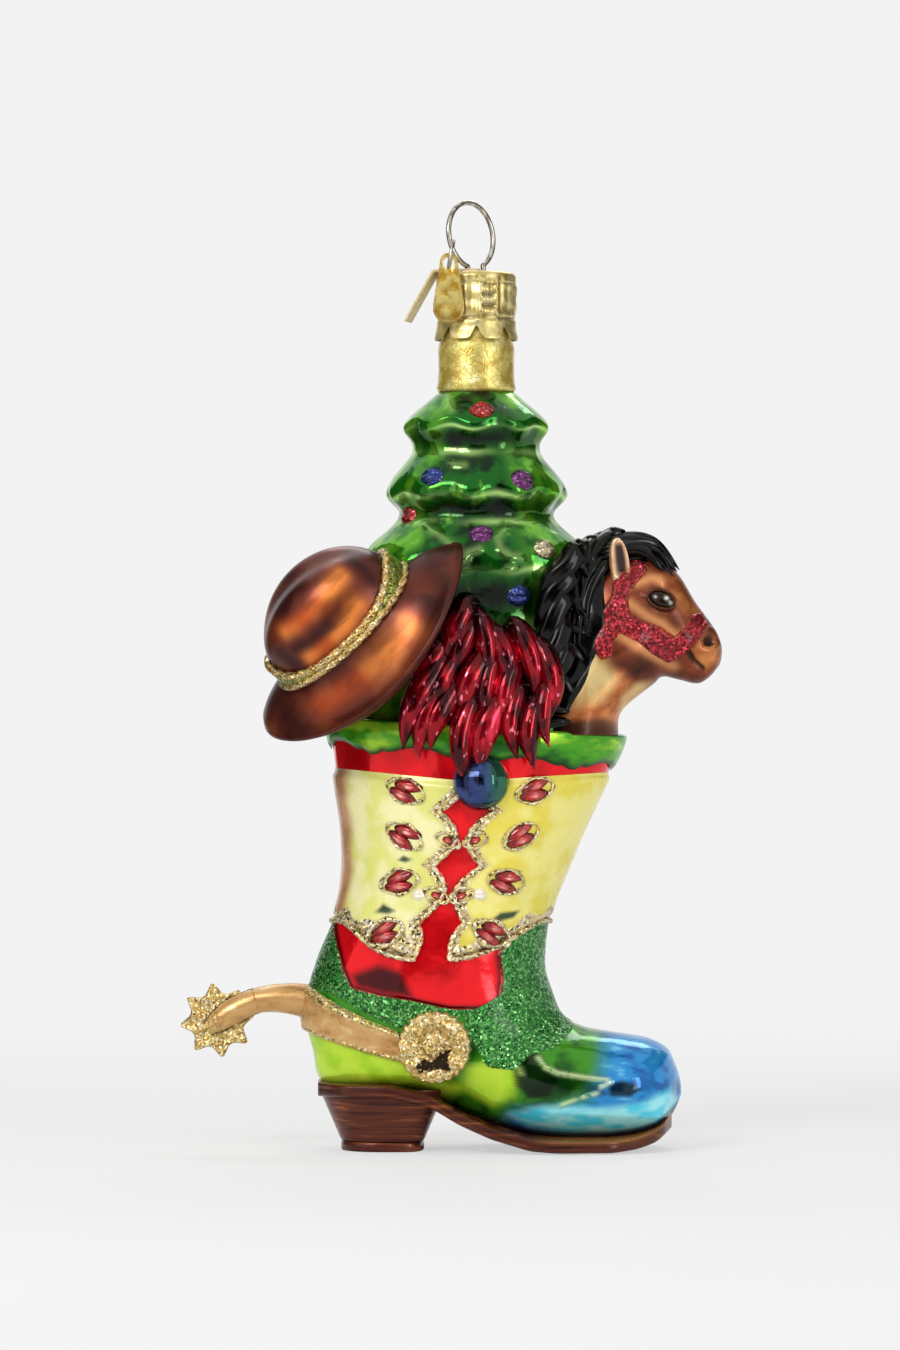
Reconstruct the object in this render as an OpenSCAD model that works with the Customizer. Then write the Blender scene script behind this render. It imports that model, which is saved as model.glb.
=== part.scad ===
// Cowboy boot ornament: a blown glass boot filled with a tree, a hat, a horse head and chili peppers,
// hung from a stamped cap with a wire hanger and two tags.
// Millimetres, +Z up, toe towards +X, viewer on the -Y side, origin under the middle of the heel.

/* [Boot] */
// Height of the boot from the floor to the collar
boot_h = 68.5; // [62:0.5:78]
// Collar size from back to front
collar_w = 50; // [46:0.5:56]
// Collar size from side to side
collar_d = 33; // [30:0.5:37]
// Height of the collar band
collar_h = 3.4; // [2.8:0.2:4]
// How far the collar band stands out
collar_proud = 0.6; // [0.3:0.1:1.2]
// Middle of the collar and of the tree, ahead of the heel
stem_x = 15; // [12:0.5:17]
// Height of the narrowest part of the shaft
ankle_z = 41; // [38:0.5:44]
// Shaft size from back to front at the ankle
ankle_w = 36; // [33:0.5:39]
// Shaft size from side to side at the ankle
ankle_d = 27; // [25:0.5:30]
// Heel counter to the middle of the heel
counter_l = 14; // [13:0.5:15]
// Toe tip to the middle of the heel
toe_l = 49.5; // [46:0.5:54]
// Foot size from side to side at the ball
foot_d = 26; // [24:0.5:28]
// Height of the instep bend
instep_z = 23; // [22:0.5:25]
// Rise of the collar above that height at the front
mouth_front = 1.6; // [1:0.1:2.2]
// Rise of the collar above that height at the back
mouth_back = 4.8; // [4:0.1:5.6]
// Thickness of the glass
glass_t = 1.2; // [0.8:0.1:1.8]

/* [Heel and sole] */
// Height of the heel under the sole
heel_h = 9.2; // [8:0.2:10.4]
// Thickness of the lift that meets the floor
lift_t = 1.8; // [1.2:0.2:2.6]
// Heel length on the floor
heel_l = 14.2; // [12.6:0.2:15]
// Heel size from side to side on the floor
heel_d = 15; // [13:0.5:17]
// Thickness of the sole
sole_t = 2.6; // [2:0.2:3.4]
// How far the welt stands out past the foot
welt = 0.8; // [0.4:0.1:1.4]

/* [Shaft panels] */
// Thickness of the raised panels
panel_t = 0.45; // [0.3:0.05:0.8]
// Half angle that each panel covers round the shaft
panel_half = 87; // [83:0.5:88]
// Depth of the scallops along the panel edges, in degrees
panel_scallop = 9.5; // [6:0.5:11]
// Radius of the rosettes on the panels
rosette_r = 1.9; // [1.4:0.1:2.3]
// Scallops along each panel edge
scallop_count = 3; // [2:1:4]
// Rosettes in each row
rosette_count = 4; // [3:1:5]

/* [Spur] */
// Width of the strap at the back of the heel
strap_w = 6.4; // [5:0.2:7.4]
// Thickness of the strap
strap_t = 0.9; // [0.6:0.1:1.4]
// Radius of the conchos
concho_r = 6.3; // [5.4:0.1:6.6]
// Heel counter to the middle of the rowel
shank_l = 15; // [13:0.5:18]
// Thickness of the shank at the rowel
shank_d = 4.4; // [3.8:0.2:5.2]
// Radius over the rowel points
rowel_r = 6.8; // [5.8:0.2:7.4]
// Points on the rowel
rowel_points = 8; // [6:1:10]
// Thickness of the rowel
rowel_t = 1.4; // [1:0.1:1.8]
// Diameter of the rowel pin
rowel_pin_d = 1.8; // [1.2:0.1:2.2]

/* [Tree] */
// Height of the tree above the collar
tree_h = 60; // [56:0.5:66]
// Radius of the top tier
tier1_r = 12.1; // [11.6:0.1:13]
// Radius of the middle tier
tier2_r = 15.2; // [14.6:0.1:16.4]
// Radius of the lowest tier
tier3_r = 20; // [19:0.5:22]
// Side to side flattening of the lowest tier
tree_flat = 0.82; // [0.76:0.02:0.9]
// Radius of the small baubles
bauble_r = 1.9; // [1.4:0.1:2.4]
// Radius of the large bauble under the peppers
big_bauble_r = 4.8; // [4:0.2:5.2]

/* [Hat] */
// Length of the crown at the band
crown_l = 28; // [26:0.5:30]
// Width of the crown at the band
crown_w = 21; // [19:0.5:23]
// Height of the crown
crown_h = 14.5; // [13:0.5:16]
// Brim length
brim_l = 46; // [43:0.5:48]
// Brim width
brim_w = 36; // [33:0.5:38]
// Brim thickness
brim_t = 1.4; // [1:0.1:2]
// Height of the hat band
band_h = 3; // [2:0.2:4]
// Thickness of the hat band
band_t = 0.8; // [0.5:0.1:1.2]
// Hat leaning to the back of the boot, in degrees
hat_tilt = 48; // [42:1:54]
// Hat leaning to the viewer, in degrees
hat_lean = 22; // [16:1:28]
// Hat turned so that its front meets the viewer, in degrees
hat_turn = 16; // [10:1:20]

/* [Horse] */
// Length of the head along the face line, compared with the standard head
head_size = 1; // [0.94:0.02:1.06]
// Middle plane of the horse, towards the viewer
horse_y = -5; // [-6:0.5:-4]
// Thickness of the mane
mane_t = 3.6; // [2.6:0.2:4.4]
// Radius of the thickest locks of the mane
lock_r = 2.2; // [1.9:0.1:2.5]
// Length of the ears
ear_l = 9.5; // [8:0.5:11]
// Radius of the eyes
eye_r = 1.8; // [1.5:0.1:2.1]
// Bridle strap thickness
bridle_t = 0.6; // [0.4:0.1:0.9]

/* [Chili peppers] */
// Radius of the thickest peppers
chili_r = 2.4; // [2.1:0.1:2.6]

/* [Neck and cap] */
// Outer radius of the neck above the tree
neck_r = 6.5; // [6.2:0.1:7]
// Height of the wide part of the neck
neck_h = 9.5; // [8:0.5:11]
// Outer radius of the cap wall
cap_r = 6.7; // [6.5:0.1:7.2]
// Height of the cap
cap_h = 11.5; // [10:0.5:13]
// Sheet thickness of the cap
cap_t = 0.5; // [0.4:0.05:0.7]
// Points along the lower edge of the cap
cap_points = 8; // [6:1:10]
// Space between the cap and the neck
cap_gap = 0.3; // [0.25:0.05:0.4]

/* [Hanger and tags] */
// Wire diameter of the hanger
wire_d = 0.9; // [0.7:0.05:1]
// Radius of the hanger loop at the middle of the wire
loop_r = 5.6; // [5:0.1:6.2]
// Length of the spring legs under the cap
leg_l = 11; // [8:0.5:13]
// Leaning of the hanger, in degrees
hanger_lean = 8; // [4:1:9]
// Wire diameter of the tag rings
ring_d = 0.5; // [0.4:0.05:0.6]
// Gold tag width
tag_w = 5.4; // [4.8:0.1:6]
// Gold tag length
tag_l = 11.2; // [10:0.2:13]
// Gold tag thickness
tag_t = 0.5; // [0.4:0.05:0.6]
// Card tag width
card_w = 4.4; // [4:0.1:5]
// Length of the card tag past the edge of the cap
card_l = 9.6; // [8:0.2:11]
// Card tag thickness
card_t = 0.4; // [0.3:0.05:0.5]

/* [Hidden] */
// Space left between two members that seat on each other
seat_gap = 0.1;
// Space behind the raised panels, their rosettes and the mane
panel_gap = 0.22;
rosette_gap = 0.14;
mane_gap = 0.3;
// Foot sunk into the sole
foot_sink = 0.9;
// Sections of the shaft between the collar and the ankle
shaft_steps = 4;
// Rows of facets along the foot
foot_steps = 14;
// Points round a section of the boot, the tree, the hat, the horse and a pepper
boot_n = 32;
tree_n = 32;
hat_n = 24;
horse_n = 20;
chili_n = 7;
// Standing height of the parts above the tree
tree_top = boot_h + tree_h;
neck_top = tree_top + neck_h + cap_h - cap_t - 0.6;
cap_top = neck_top + cap_t + 0.05;
// Middle of the ankle, the instep bend and the heel counter on the side view of the boot
ankle_x = 9.6;
instep_x = 29.5;
counter_z = 24;
// Lower edge of the shaft and of its panels, as places along the boot
shaft_end = 4.65;
panel_from = 0.72;
panel_to = 4.2;
// How much further down each edge of a panel reaches at its sides
panel_top_dip = 0.15;
panel_low_dip = 0.86;
// Places along the boot of the first and last rosettes, and their angle from the side of the boot
rosette_from = 1.05;
rosette_to = 4.42;
rosette_turn = 28;
// Places along the boot of the strap at the back, of its ends and of the conchos
strap_back = 6.02;
strap_front = 7.06;
concho_place = 7.35;
// Middle of the rowel
rowel_x = -counter_l - shank_l;
rowel_z = 21.9;
// Space for the rowel between the fork sides
rowel_slot = rowel_t + 2 * seat_gap;
// Length of the rowel pin
pin_l = 4.4;
// Baubles stand off the hollows between the tiers
bauble_lift = 1.5 * seat_gap;
// Radius of the tree just over the collar
tree_low_r = tier3_r - 2.8;

// Helpers

function lerp(a, b, t) = a + (b - a) * t;

function total(v, i = 0) = i == len(v) - 1 ? v[i] : v[i] + total(v, i + 1);

// Smooth curve through a list of points, s counts the points
function curve(p, s) =
  let (i = min(floor(s), len(p) - 2), t = s - i)
  let (a = p[max(i - 1, 0)], b = p[i], c = p[i + 1], d = p[min(i + 2, len(p) - 1)])
  0.5 * (2 * b + (c - a) * t + (2 * a - 5 * b + 4 * c - d) * t * t + (3 * b - a - 3 * c + d) * t * t * t);

// Which way round the points of a ring run, seen from the next ring
function ring_sense(r, next) =
  let (n = len(r), c = total(r) / n, d = total(next) / n - c)
  let (turn = total([for (i = [0:n - 1]) cross(r[i] - c, r[(i + 1) % n] - c)]))
  turn * d;

function reversed(v) = [for (i = [len(v) - 1:-1:0]) v[i]];

// Solid through a row of rings; a looped row has no end faces, a thin one has strips for end faces
module skin(rings, looped = false, thin = false) {
  all_rings = ring_sense(rings[0], rings[1]) > 0 ? rings : [for (r = rings) reversed(r)];
  n = len(rings[0]);
  m = len(rings);
  sides = [for (i = [0:m - (looped ? 1 : 2)], j = [0:n - 1])
             let (k = (j + 1) % n, a = i * n, b = ((i + 1) % m) * n)
             each [[a + j, b + j, b + k], [a + j, b + k, a + k]]];
  near = thin ? [for (j = [0:n / 2 - 2]) each [[j, j + 1, n - 2 - j], [j, n - 2 - j, n - 1 - j]]]
              : [[for (j = [0:n - 1]) j]];
  far = [for (f = near) [for (v = reversed(f)) v + (m - 1) * n]];
  ends = looped ? [] : concat(near, far);
  polyhedron(points = [for (r = all_rings) each r], faces = concat(sides, ends));
}

// Thin curved plate between two grids of points
module plate(outer, inner) {
  rows = len(outer);
  skin([for (i = [0:rows - 1]) concat(outer[i], reversed(inner[i]))], thin = true);
}

// Bent pod that tapers to a tip
module pod(from, to, r, wider) {
  bend = [0.12 * (from[2] - to[2]) * sign(to[0] - from[0]), -1, 0];
  along = (to - from) / norm(to - from);
  side = [along[2], 0, -along[0]] / norm([along[2], along[0]]);
  out = cross(along, side);
  profile = [[0, 0.4], [0.12, 0.9], [0.4, 1], [0.75, 0.6], [1, 0.08]];
  skin([for (k = profile)
    let (c = lerp(from, to, k[0]) + bend * sin(180 * k[0]) + along * wider * (2 * k[0] - 1))
    [for (j = [0:chili_n - 1])
      let (a = turn(chili_n, j))
      c + (r * k[1] + wider) * (cos(a) * side + sin(a) * out)]]);
}

// Joins sculpted members into one facetted body
module sculpted() {
  resize([0, 0, 0]) children();
}

// Boot

arch = [[-counter_l - 2, heel_h], [0, heel_h], [7, heel_h - 1.6], [12, heel_h / 2], [17.5, 2.2], [24, 0.3],
        [28, 0], [toe_l - 11.5, 0], [toe_l - 7.5, 0.5], [toe_l - 4, 1.6], [toe_l - 1, 4], [toe_l + 2, 6.5]];

function underfoot(x) = lookup(x, arch) + sole_t - foot_sink;

// A section holds its front point, its back point and its half width
function shaft_section(f) =
  let (w = lerp(ankle_w, collar_w, pow(f, 1.6)) / 2, x = lerp(ankle_x, stem_x, pow(f, 0.75)))
  let (z = lerp(ankle_z, boot_h, f))
  let (rise = f == 1 ? [mouth_front, mouth_back] : [0, 0])
  [x + w, z + rise[0], x - w, z + rise[1], lerp(ankle_d, collar_d, f) / 2];

function foot_section(along, top_z, back_x, w) =
  [lerp(instep_x, toe_l, along), top_z, back_x, underfoot(back_x), w];

boot_sections = concat(
  [for (i = [0:shaft_steps]) shaft_section(1 - i / shaft_steps)],
  [[instep_x - 3, ankle_z - 9, 2 - counter_l, ankle_z - 9, ankle_d / 2],
   [instep_x - 1.8, instep_z + 4, -counter_l, counter_z, ankle_d / 2 - 0.4],
   [instep_x, instep_z, 1.2 - counter_l, counter_z - 7, foot_d / 2 - 0.5],
   foot_section(0.17, instep_z - 2, 4 - counter_l, foot_d / 2 - 0.7),
   foot_section(0.37, instep_z - 2.8, 5, foot_d / 2 - 0.8),
   foot_section(0.57, instep_z - 3.4, 16, foot_d / 2 - 0.3),
   foot_section(0.76, instep_z - 4.2, 27, foot_d / 2),
   foot_section(0.9, instep_z - 5.8, toe_l - 12.5, foot_d / 2 - 1.4),
   foot_section(0.97, instep_z - 8.6, toe_l - 5, foot_d / 2 - 5),
   [toe_l, instep_z - 10.4, toe_l - 1.2, underfoot(toe_l - 1.2) + 0.4, 3]]);

boot_end = len(boot_sections) - 1;

// Point on a section at angle a: 0 is the front, 180 the back, -90 the side towards the viewer
function on_section(q, a, grow = 0, y = 0) =
  let (mid = [q[0] + q[2], q[1] + q[3]] / 2, half = [q[0] - q[2], q[1] - q[3]] / 2)
  let (reach = half * (1 + grow / norm(half)) * cos(a))
  [mid[0] + reach[0], y + (q[4] + grow) * sin(a), mid[1] + reach[1]];

function boot_point(s, a, grow = 0) = on_section(curve(boot_sections, s), a, grow);

function turn(n, i) = 360 * i / n;

// Lower edge of the collar band and of the shaft, as places along the boot
function collar_edge(a) =
  shaft_steps * (collar_h + 0.7 * cos(a) + 0.3 * cos(8 * a)) / (boot_h - ankle_z);
function shaft_edge(a) = shaft_end + 1.9 * sin(a) * sin(a);

function boot_band(from, to, grow, steps) =
  [for (i = [0:steps]) [for (j = [0:boot_n - 1])
    let (a = turn(boot_n, j)) boot_point(lerp(from[j], to[j], i / steps), a, grow)]];

boot_angles = [for (j = [0:boot_n - 1]) turn(boot_n, j)];
top_line = [for (a = boot_angles) 0];
collar_line = [for (a = boot_angles) collar_edge(a)];
shaft_line = [for (a = boot_angles) shaft_edge(a)];
toe_line = [for (a = boot_angles) boot_end];
inner_toe_line = [for (a = boot_angles) boot_end - 0.6];

// Filled boot, used to seat other members on it
module boot_filled(grow) {
  skin(boot_band(top_line, shaft_line, grow + collar_proud, 6));
}

module foot_filled(grow) {
  skin(boot_band(shaft_line, toe_line, grow, foot_steps));
}

module boot_shaft() {
  color("firebrick")
    skin(concat(boot_band(collar_line, shaft_line, 0, 8),
                reversed(boot_band(collar_line, shaft_line, -glass_t, 8))), looped = true);
}

module boot_foot() {
  color("yellowgreen")
    skin(concat(reversed(boot_band(shaft_line, toe_line, 0, foot_steps)),
                boot_band(shaft_line, inner_toe_line, -glass_t, 8)));
}

module boot_collar() {
  color("limegreen")
    skin(concat(boot_band(top_line, collar_line, collar_proud, 2),
                reversed(boot_band(top_line, collar_line, -glass_t, 2))), looped = true);
}

// Shaft panels

// Scalloped side edge, its points nearly meeting those of the other panel
function panel_edge(f) = panel_half - panel_scallop * (1 - abs(cos(180 * scallop_count * f)));

module shaft_panel(middle) {
  steps = 6 * scallop_count;
  spans = 14;
  rows = function (grow) [for (i = [0:steps])
    [for (j = [0:spans])
      let (half = panel_edge(i / steps), u = 2 * j / spans - 1)
      let (top = panel_from + panel_top_dip * u * u, low = panel_to + panel_low_dip * u * u)
      boot_point(lerp(top, low, i / steps), middle + half * u, grow)]];
  plate(rows(panel_gap + panel_t), rows(panel_gap));
}

module front_panel() {
  color("khaki") shaft_panel(0);
}

module back_panel() {
  color("khaki") shaft_panel(180);
}

// A low dome with its flat side down
module dome(r, h) {
  ball_r = (r * r + h * h) / (2 * h);
  rotate_extrude($fn = 32) intersection() {
    translate([0, h - ball_r]) circle(ball_r, $fn = 64);
    square([r, h]);
  }
}

// Turns +Z of its children to a direction
module facing(p, up) {
  translate(p) rotate([0, acos(up[2] / norm(up)), atan2(up[1], up[0])]) children();
}

module panel_rosettes() {
  color("crimson")
    for (side = [-1, 1], end = [0, 1], i = [0:rosette_count - 1]) {
      s = lerp(rosette_from, rosette_to, i / (rosette_count - 1));
      a = side * (90 + (end == 0 ? -1 : 1) * rosette_turn);
      lift = panel_gap + panel_t + rosette_gap;
      p = boot_point(s, a, lift);
      round_way = boot_point(s, a + 1, lift) - boot_point(s, a - 1, lift);
      down_way = boot_point(s + 0.1, a, lift) - boot_point(s - 0.1, a, lift);
      facing(p, cross(down_way, round_way)) dome(rosette_r, 0.35 * rosette_r);
    }
}

// Heel and sole

sole_half = [[2.2 - counter_l, 4], [3.4 - counter_l, 7], [6.6 - counter_l, foot_d / 2 - 2.6],
             [0, foot_d / 2 - 1.4], [10, foot_d / 2 - 2.6], [18, foot_d / 2 - 1],
             [30, foot_d / 2 + welt], [38, foot_d / 2 - 1.2 + welt], [toe_l - 5, foot_d / 2 - 4.6 + welt],
             [toe_l - 2.4, 4.8 + welt], [toe_l - 1.4, 2.6]];

// Flat rounded section of the sole at x, or of the room above its underside
function sole_ring(x, wider = 0, higher = 0) =
  let (half = (sole_t + higher) / 2, w = lookup(x, sole_half) + wider)
  [for (j = [0:15])
    let (a = turn(16, j + 0.5), z = lookup(x, arch) + half)
    [x, w * sign(cos(a)) * pow(abs(cos(a)), 0.5), z + half * sign(sin(a)) * pow(abs(sin(a)), 0.4)]];

module sole_filled() {
  steps = 18;
  skin([for (i = [0:steps]) sole_ring(lerp(2.2 - counter_l, toe_l - 1.4, i / steps))]);
}

module above_sole() {
  skin([for (x = [-counter_l - 4:3:20]) sole_ring(x, 9, 9)]);
}

module boot_sole() {
  color("saddlebrown") sculpted() difference() {
    sole_filled();
    foot_filled(seat_gap);
  }
}

// Heel outline at a height: straight breast in front, round behind
function heel_ring(f) =
  let (l = heel_l / 2 + 3.8 * f, d = heel_d / 2 + 2.6 * f)
  let (z = lerp(lift_t, heel_h + 0.4 * sole_t, f), x = -0.9)
  [for (j = [0:23])
    let (a = turn(24, j), c = cos(a))
    [x + l * (c > 0 ? pow(c, 0.35) : c), d * sign(sin(a)) * pow(abs(sin(a)), 0.8), z]];

module boot_heel() {
  color("sienna") sculpted() difference() {
    skin([for (f = [0:0.25:1]) heel_ring(f)]);
    translate([0, 0, -2 * seat_gap]) above_sole();
  }
}

module heel_lift() {
  color("peru") linear_extrude(lift_t - seat_gap) polygon([for (p = heel_ring(0)) [p[0], p[1]]]);
}

// Spur

strap_end = 112;

// Middle line of the strap, from the back of the heel to the conchos
function strap_s(a) = lerp(strap_back, strap_front, pow((180 - a) / (180 - strap_end), 2));

module strap_filled(inside, outside) {
  spans = 12;
  steps = 4;
  rows = function (grow) [for (i = [0:spans])
    let (a = lerp(strap_end, 360 - strap_end, i / spans))
    let (s = strap_s(a > 180 ? 360 - a : a), half = strap_w / 12)
    [for (j = [0:steps]) boot_point(s + half * (2 * j / steps - 1), a, grow)]];
  plate(rows(outside), rows(inside));
}

module spur_strap() {
  color("goldenrod") strap_filled(seat_gap, seat_gap + strap_t);
}

module concho() {
  rotate_extrude($fn = 20)
    polygon([[0, -2], [concho_r, -2], [concho_r, 0.9], [0.72 * concho_r, 1.5],
             [0.3 * concho_r, 1.1], [0, 1.9]]);
}

module conchos() {
  color("gold") sculpted() difference() {
    for (side = [-1, 1]) {
      p = boot_point(concho_place, side * 93, 0.4);
      up = boot_point(concho_place, side * 93, 1.4) - p;
      facing(p, up) concho();
    }
    foot_filled(seat_gap);
    strap_filled(-1, 2 * seat_gap + strap_t);
    boot_filled(seat_gap - collar_proud);
  }
}

// Sections of the shank: middle x and z, half height, half width
shank_sections = [[2 - counter_l, 24.8, 3.1, 3.2], [-counter_l - 3, 25.6, 2.6, 2.8],
                  [-counter_l - 8, 25.3, shank_d / 2, 2.4], [-counter_l - 12, 23.6, shank_d / 2, 2.2],
                  [rowel_x + 0.4, rowel_z, shank_d / 2 - 0.2, 2.1], [rowel_x - 1.8, rowel_z - 1.6, 1.2, 1.9]];

function shank_ring(s) =
  let (q = curve(shank_sections, s))
  let (t = curve(shank_sections, min(s + 0.1, 5)) - curve(shank_sections, s - 0.1))
  let (up = [-t[1], t[0]] / norm([t[0], t[1]]))
  [for (j = [0:11])
    let (a = turn(12, j))
    [q[0] + q[2] * cos(a) * up[0], q[3] * sin(a), q[1] + q[2] * cos(a) * up[1]]];

module spur_shank() {
  color("goldenrod") sculpted() difference() {
    skin([for (s = [0.15:0.35:4.9]) shank_ring(s)]);
    boot_filled(seat_gap - collar_proud);
    foot_filled(seat_gap);
    strap_filled(-1, 2 * seat_gap + strap_t);
    translate([rowel_x, rowel_slot / 2, rowel_z]) rotate([90, 0, 0]) {
      cylinder(h = rowel_slot, r = rowel_r + 1, $fn = 48);
    }
    translate([rowel_x, pin_l, rowel_z]) rotate([90, 0, 0])
      cylinder(h = 2 * pin_l, d = rowel_pin_d + seat_gap, $fn = 24);
  }
}

module spur_rowel() {
  root_r = 0.6 * rowel_r;
  star = [for (i = [0:2 * rowel_points - 1])
    let (a = 98 + 180 * i / rowel_points, r = i % 2 == 0 ? rowel_r : root_r)
    [r * cos(a), r * sin(a)]];
  color("gold")
    translate([rowel_x, rowel_t / 2, rowel_z]) rotate([90, 0, 0])
      linear_extrude(rowel_t) difference() {
        polygon(star);
        circle(d = rowel_pin_d + seat_gap, $fn = 24);
      }
}

module rowel_pin() {
  color("goldenrod")
    translate([rowel_x, pin_l / 2, rowel_z]) rotate([90, 0, 0])
      cylinder(h = pin_l, d = rowel_pin_d, $fn = 24);
}

// Tree

// Radius, drop below the tree top and flattening down the tree
tree_profile = [[neck_r, 0, 1], [0.93 * tier1_r, 4, 1], [tier1_r, 6, 0.98], [10.9, 10, 0.96],
                [tier2_r, 16.3, 0.93], [13.2, 21, 0.9], [tier3_r - 1.6, 26.3, 0.85], [tier3_r, 30, tree_flat],
                [tier3_r - 2, 37, tree_flat], [tree_low_r, tree_h - 14, tree_flat]];

function tree_ring(s, grow) =
  let (q = curve(tree_profile, s))
  [for (j = [0:tree_n - 1])
    let (a = turn(tree_n, j))
    [stem_x + (q[0] + grow) * cos(a), (q[0] * q[2] + grow) * sin(a), tree_top - q[1]]];

// Foot of the tree, filling the mouth of the boot
function plug_ring(s, grow) =
  [for (j = [0:tree_n - 1]) boot_point(s, turn(tree_n, j), grow - glass_t - 2 * seat_gap)];

// Steps of the mould down the tree
tree_step = 0.6;

function tree_rings(grow, step) =
  concat([plug_ring(0.5, grow), plug_ring(0.25, grow), plug_ring(0, grow)],
         [for (s = [9:-step:0]) tree_ring(s, grow)]);

module tree_filled(grow) {
  skin(tree_rings(grow, tree_step));
}

module tree() {
  color("green") skin(concat(tree_rings(0, tree_step), reversed(tree_rings(-glass_t, 1.5))), looped = true);
}

// Baubles: angle round the tree, place down the tree
bauble_places = [[-85, 0.8], [-122, 3.7], [-58, 3.8], [-150, 5], [-87, 5.6], [-52, 6.1], [-68, 7.7],
                 [80, 1.6], [125, 4], [50, 4], [98, 6], [150, 6.6], [30, 6.6], [95, 8.4]];

function tree_point(s, a) =
  let (q = curve(tree_profile, s))
  [stem_x + q[0] * cos(a), q[0] * q[2] * sin(a), tree_top - q[1]];

// Point on the moulded wall, between two steps of the mould
function wall_point(s, a) =
  let (k = floor((9 - s) / tree_step), s0 = 9 - k * tree_step)
  lerp(tree_point(s0, a), tree_point(max(s0 - tree_step, 0), a), (s0 - s) / tree_step);

module tree_baubles() {
  spots = [-1, -0.75, -0.5, -0.25, 0, 0.25, 0.5, 0.75, 1];
  color("royalblue")
    for (b = bauble_places) {
      p = wall_point(b[1], b[0]);
      fall = wall_point(b[1] + 0.3, b[0]) - wall_point(b[1] - 0.3, b[0]);
      up = cross(fall, tree_point(b[1], b[0] + 1) - tree_point(b[1], b[0]));
      reach = 0.6 * bauble_r / norm(fall);
      hollow = max([for (d = spots) (wall_point(b[1] + d * reach, b[0]) - p) * up / norm(up)]);
      facing(p + (hollow + bauble_lift) * up / norm(up), up) dome(bauble_r, 0.55 * bauble_r);
    }
}

// Neck, cap and hanger

neck_inner = neck_r - 1.6;
neck_upper = cap_r - cap_t - cap_gap;

module neck() {
  color("gold") translate([stem_x, 0, 0]) rotate_extrude($fn = 96)
    polygon([[neck_inner, tree_top], [neck_r, tree_top], [neck_r, tree_top + neck_h - 1.2],
             [neck_upper, tree_top + neck_h - 0.4], [neck_upper, neck_top], [neck_inner, neck_top]]);
}

hole_x = 2;
hole_d = wire_d + 0.9;
hanger_turn = 48;

module cap() {
  low = cap_top - cap_h;
  color("gold") translate([stem_x, 0, 0]) difference() {
    rotate_extrude($fn = 96)
      polygon([[0, cap_top], [cap_r - 0.8, cap_top], [cap_r, cap_top - 0.8], [cap_r, low + 2.2],
               [cap_r + 0.5, low], [cap_r + 0.5 - cap_t, low], [cap_r - cap_t, low + 2.2],
               [cap_r - cap_t, cap_top - cap_t], [0, cap_top - cap_t]]);
    for (i = [0:cap_points - 1]) rotate(turn(cap_points, i))
      translate([cap_r + 2, 0, low - 0.6]) rotate([0, -90, 0])
        linear_extrude(4) polygon([[0, -2.1], [2.6, 0], [0, 2.1]]);
    for (side = [-1, 1]) rotate(hanger_turn)
      translate([side * hole_x, 0, cap_top - 3]) cylinder(h = 6, d = hole_d, $fn = 24);
  }
}

// The loop runs through both holes of the cap
loop_dip = 1.2;
loop_rise = sqrt(loop_r * loop_r - hole_x * hole_x);

module hanger_place() {
  translate([stem_x, 0, cap_top]) rotate([0, -hanger_lean, 0]) rotate(hanger_turn) children();
}

module hanger_wire() {
  open = acos(hole_x / loop_r);
  color("silver") hanger_place() {
    translate([0, 0, loop_dip + loop_rise]) rotate([90, 0, 0]) rotate(-open)
      rotate_extrude(angle = 180 + 2 * open, $fn = 96) translate([loop_r, 0]) circle(d = wire_d, $fn = 24);
    for (side = [-1, 1]) {
      translate([side * hole_x, 0, loop_dip]) sphere(d = wire_d, $fn = 24);
      translate([side * hole_x, 0, loop_dip]) rotate([0, side * -176, 0])
        cylinder(h = leg_l, d = wire_d, $fn = 24);
    }
  }
}

// Place on the loop at an angle from its right side, in the frame of the part
function lean_point(p) =
  [stem_x + p[0] * cos(hanger_lean) - p[2] * sin(hanger_lean), p[1],
   cap_top + p[0] * sin(hanger_lean) + p[2] * cos(hanger_lean)];
function loop_point(a) =
  let (x = loop_r * cos(a), z = loop_dip + loop_rise + loop_r * sin(a))
  lean_point([x * cos(hanger_turn), x * sin(hanger_turn), z]);

tag_at = loop_point(203);
ring_r = 2.6;
tag_hole_r = 1;
// Ring wire clear of the loop wire
ring_hang = ring_r - wire_d / 2 - ring_d / 2 - 0.15;
// Way the ring reaches out from the loop: heading, drop and roll
tag_heading = -101;
tag_drop = 37;
tag_roll = 76;
tag_eye = tag_at + (ring_hang + ring_r) *
          [cos(tag_drop) * cos(tag_heading), cos(tag_drop) * sin(tag_heading), -sin(tag_drop)];

module tag_ring() {
  color("silver") translate(tag_at) rotate(tag_heading) rotate([0, tag_drop, 0]) translate([ring_hang, 0, 0])
    rotate([tag_roll, 0, 0]) rotate_extrude($fn = 64) translate([ring_r, 0]) circle(d = ring_d, $fn = 16);
}

// Drop shaped tag, hung by its hole at the origin
module tag_shape(l, w, thick) {
  low = w / 2 + 1 - l;
  difference() {
    union() {
      translate([0, low, 0]) cylinder(h = thick, r = w / 2, $fn = 64);
      translate([0, 0.3, 0]) cylinder(h = thick, r = 1.5, $fn = 48);
      linear_extrude(thick)
        polygon([[-1.3, 0.8], [1.3, 0.8], [w / 2 - 0.1, low + 0.6], [0.1 - w / 2, low + 0.6]]);
    }
    translate([0, 0, -1]) cylinder(h = thick + 2, r = tag_hole_r, $fn = 32);
  }
}

module gold_tag() {
  color("gold") translate(tag_eye) translate([0, tag_t / 2, 0]) rotate([90, 0, 0])
    tag_shape(tag_l, tag_w, tag_t);
}

// Card threaded on the left leg of the hanger, lying on the cap and bent down past its edge
card_slope = 30;
card_heading = -14;
card_reach = cap_r - 0.6;
card_end = 2;

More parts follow.
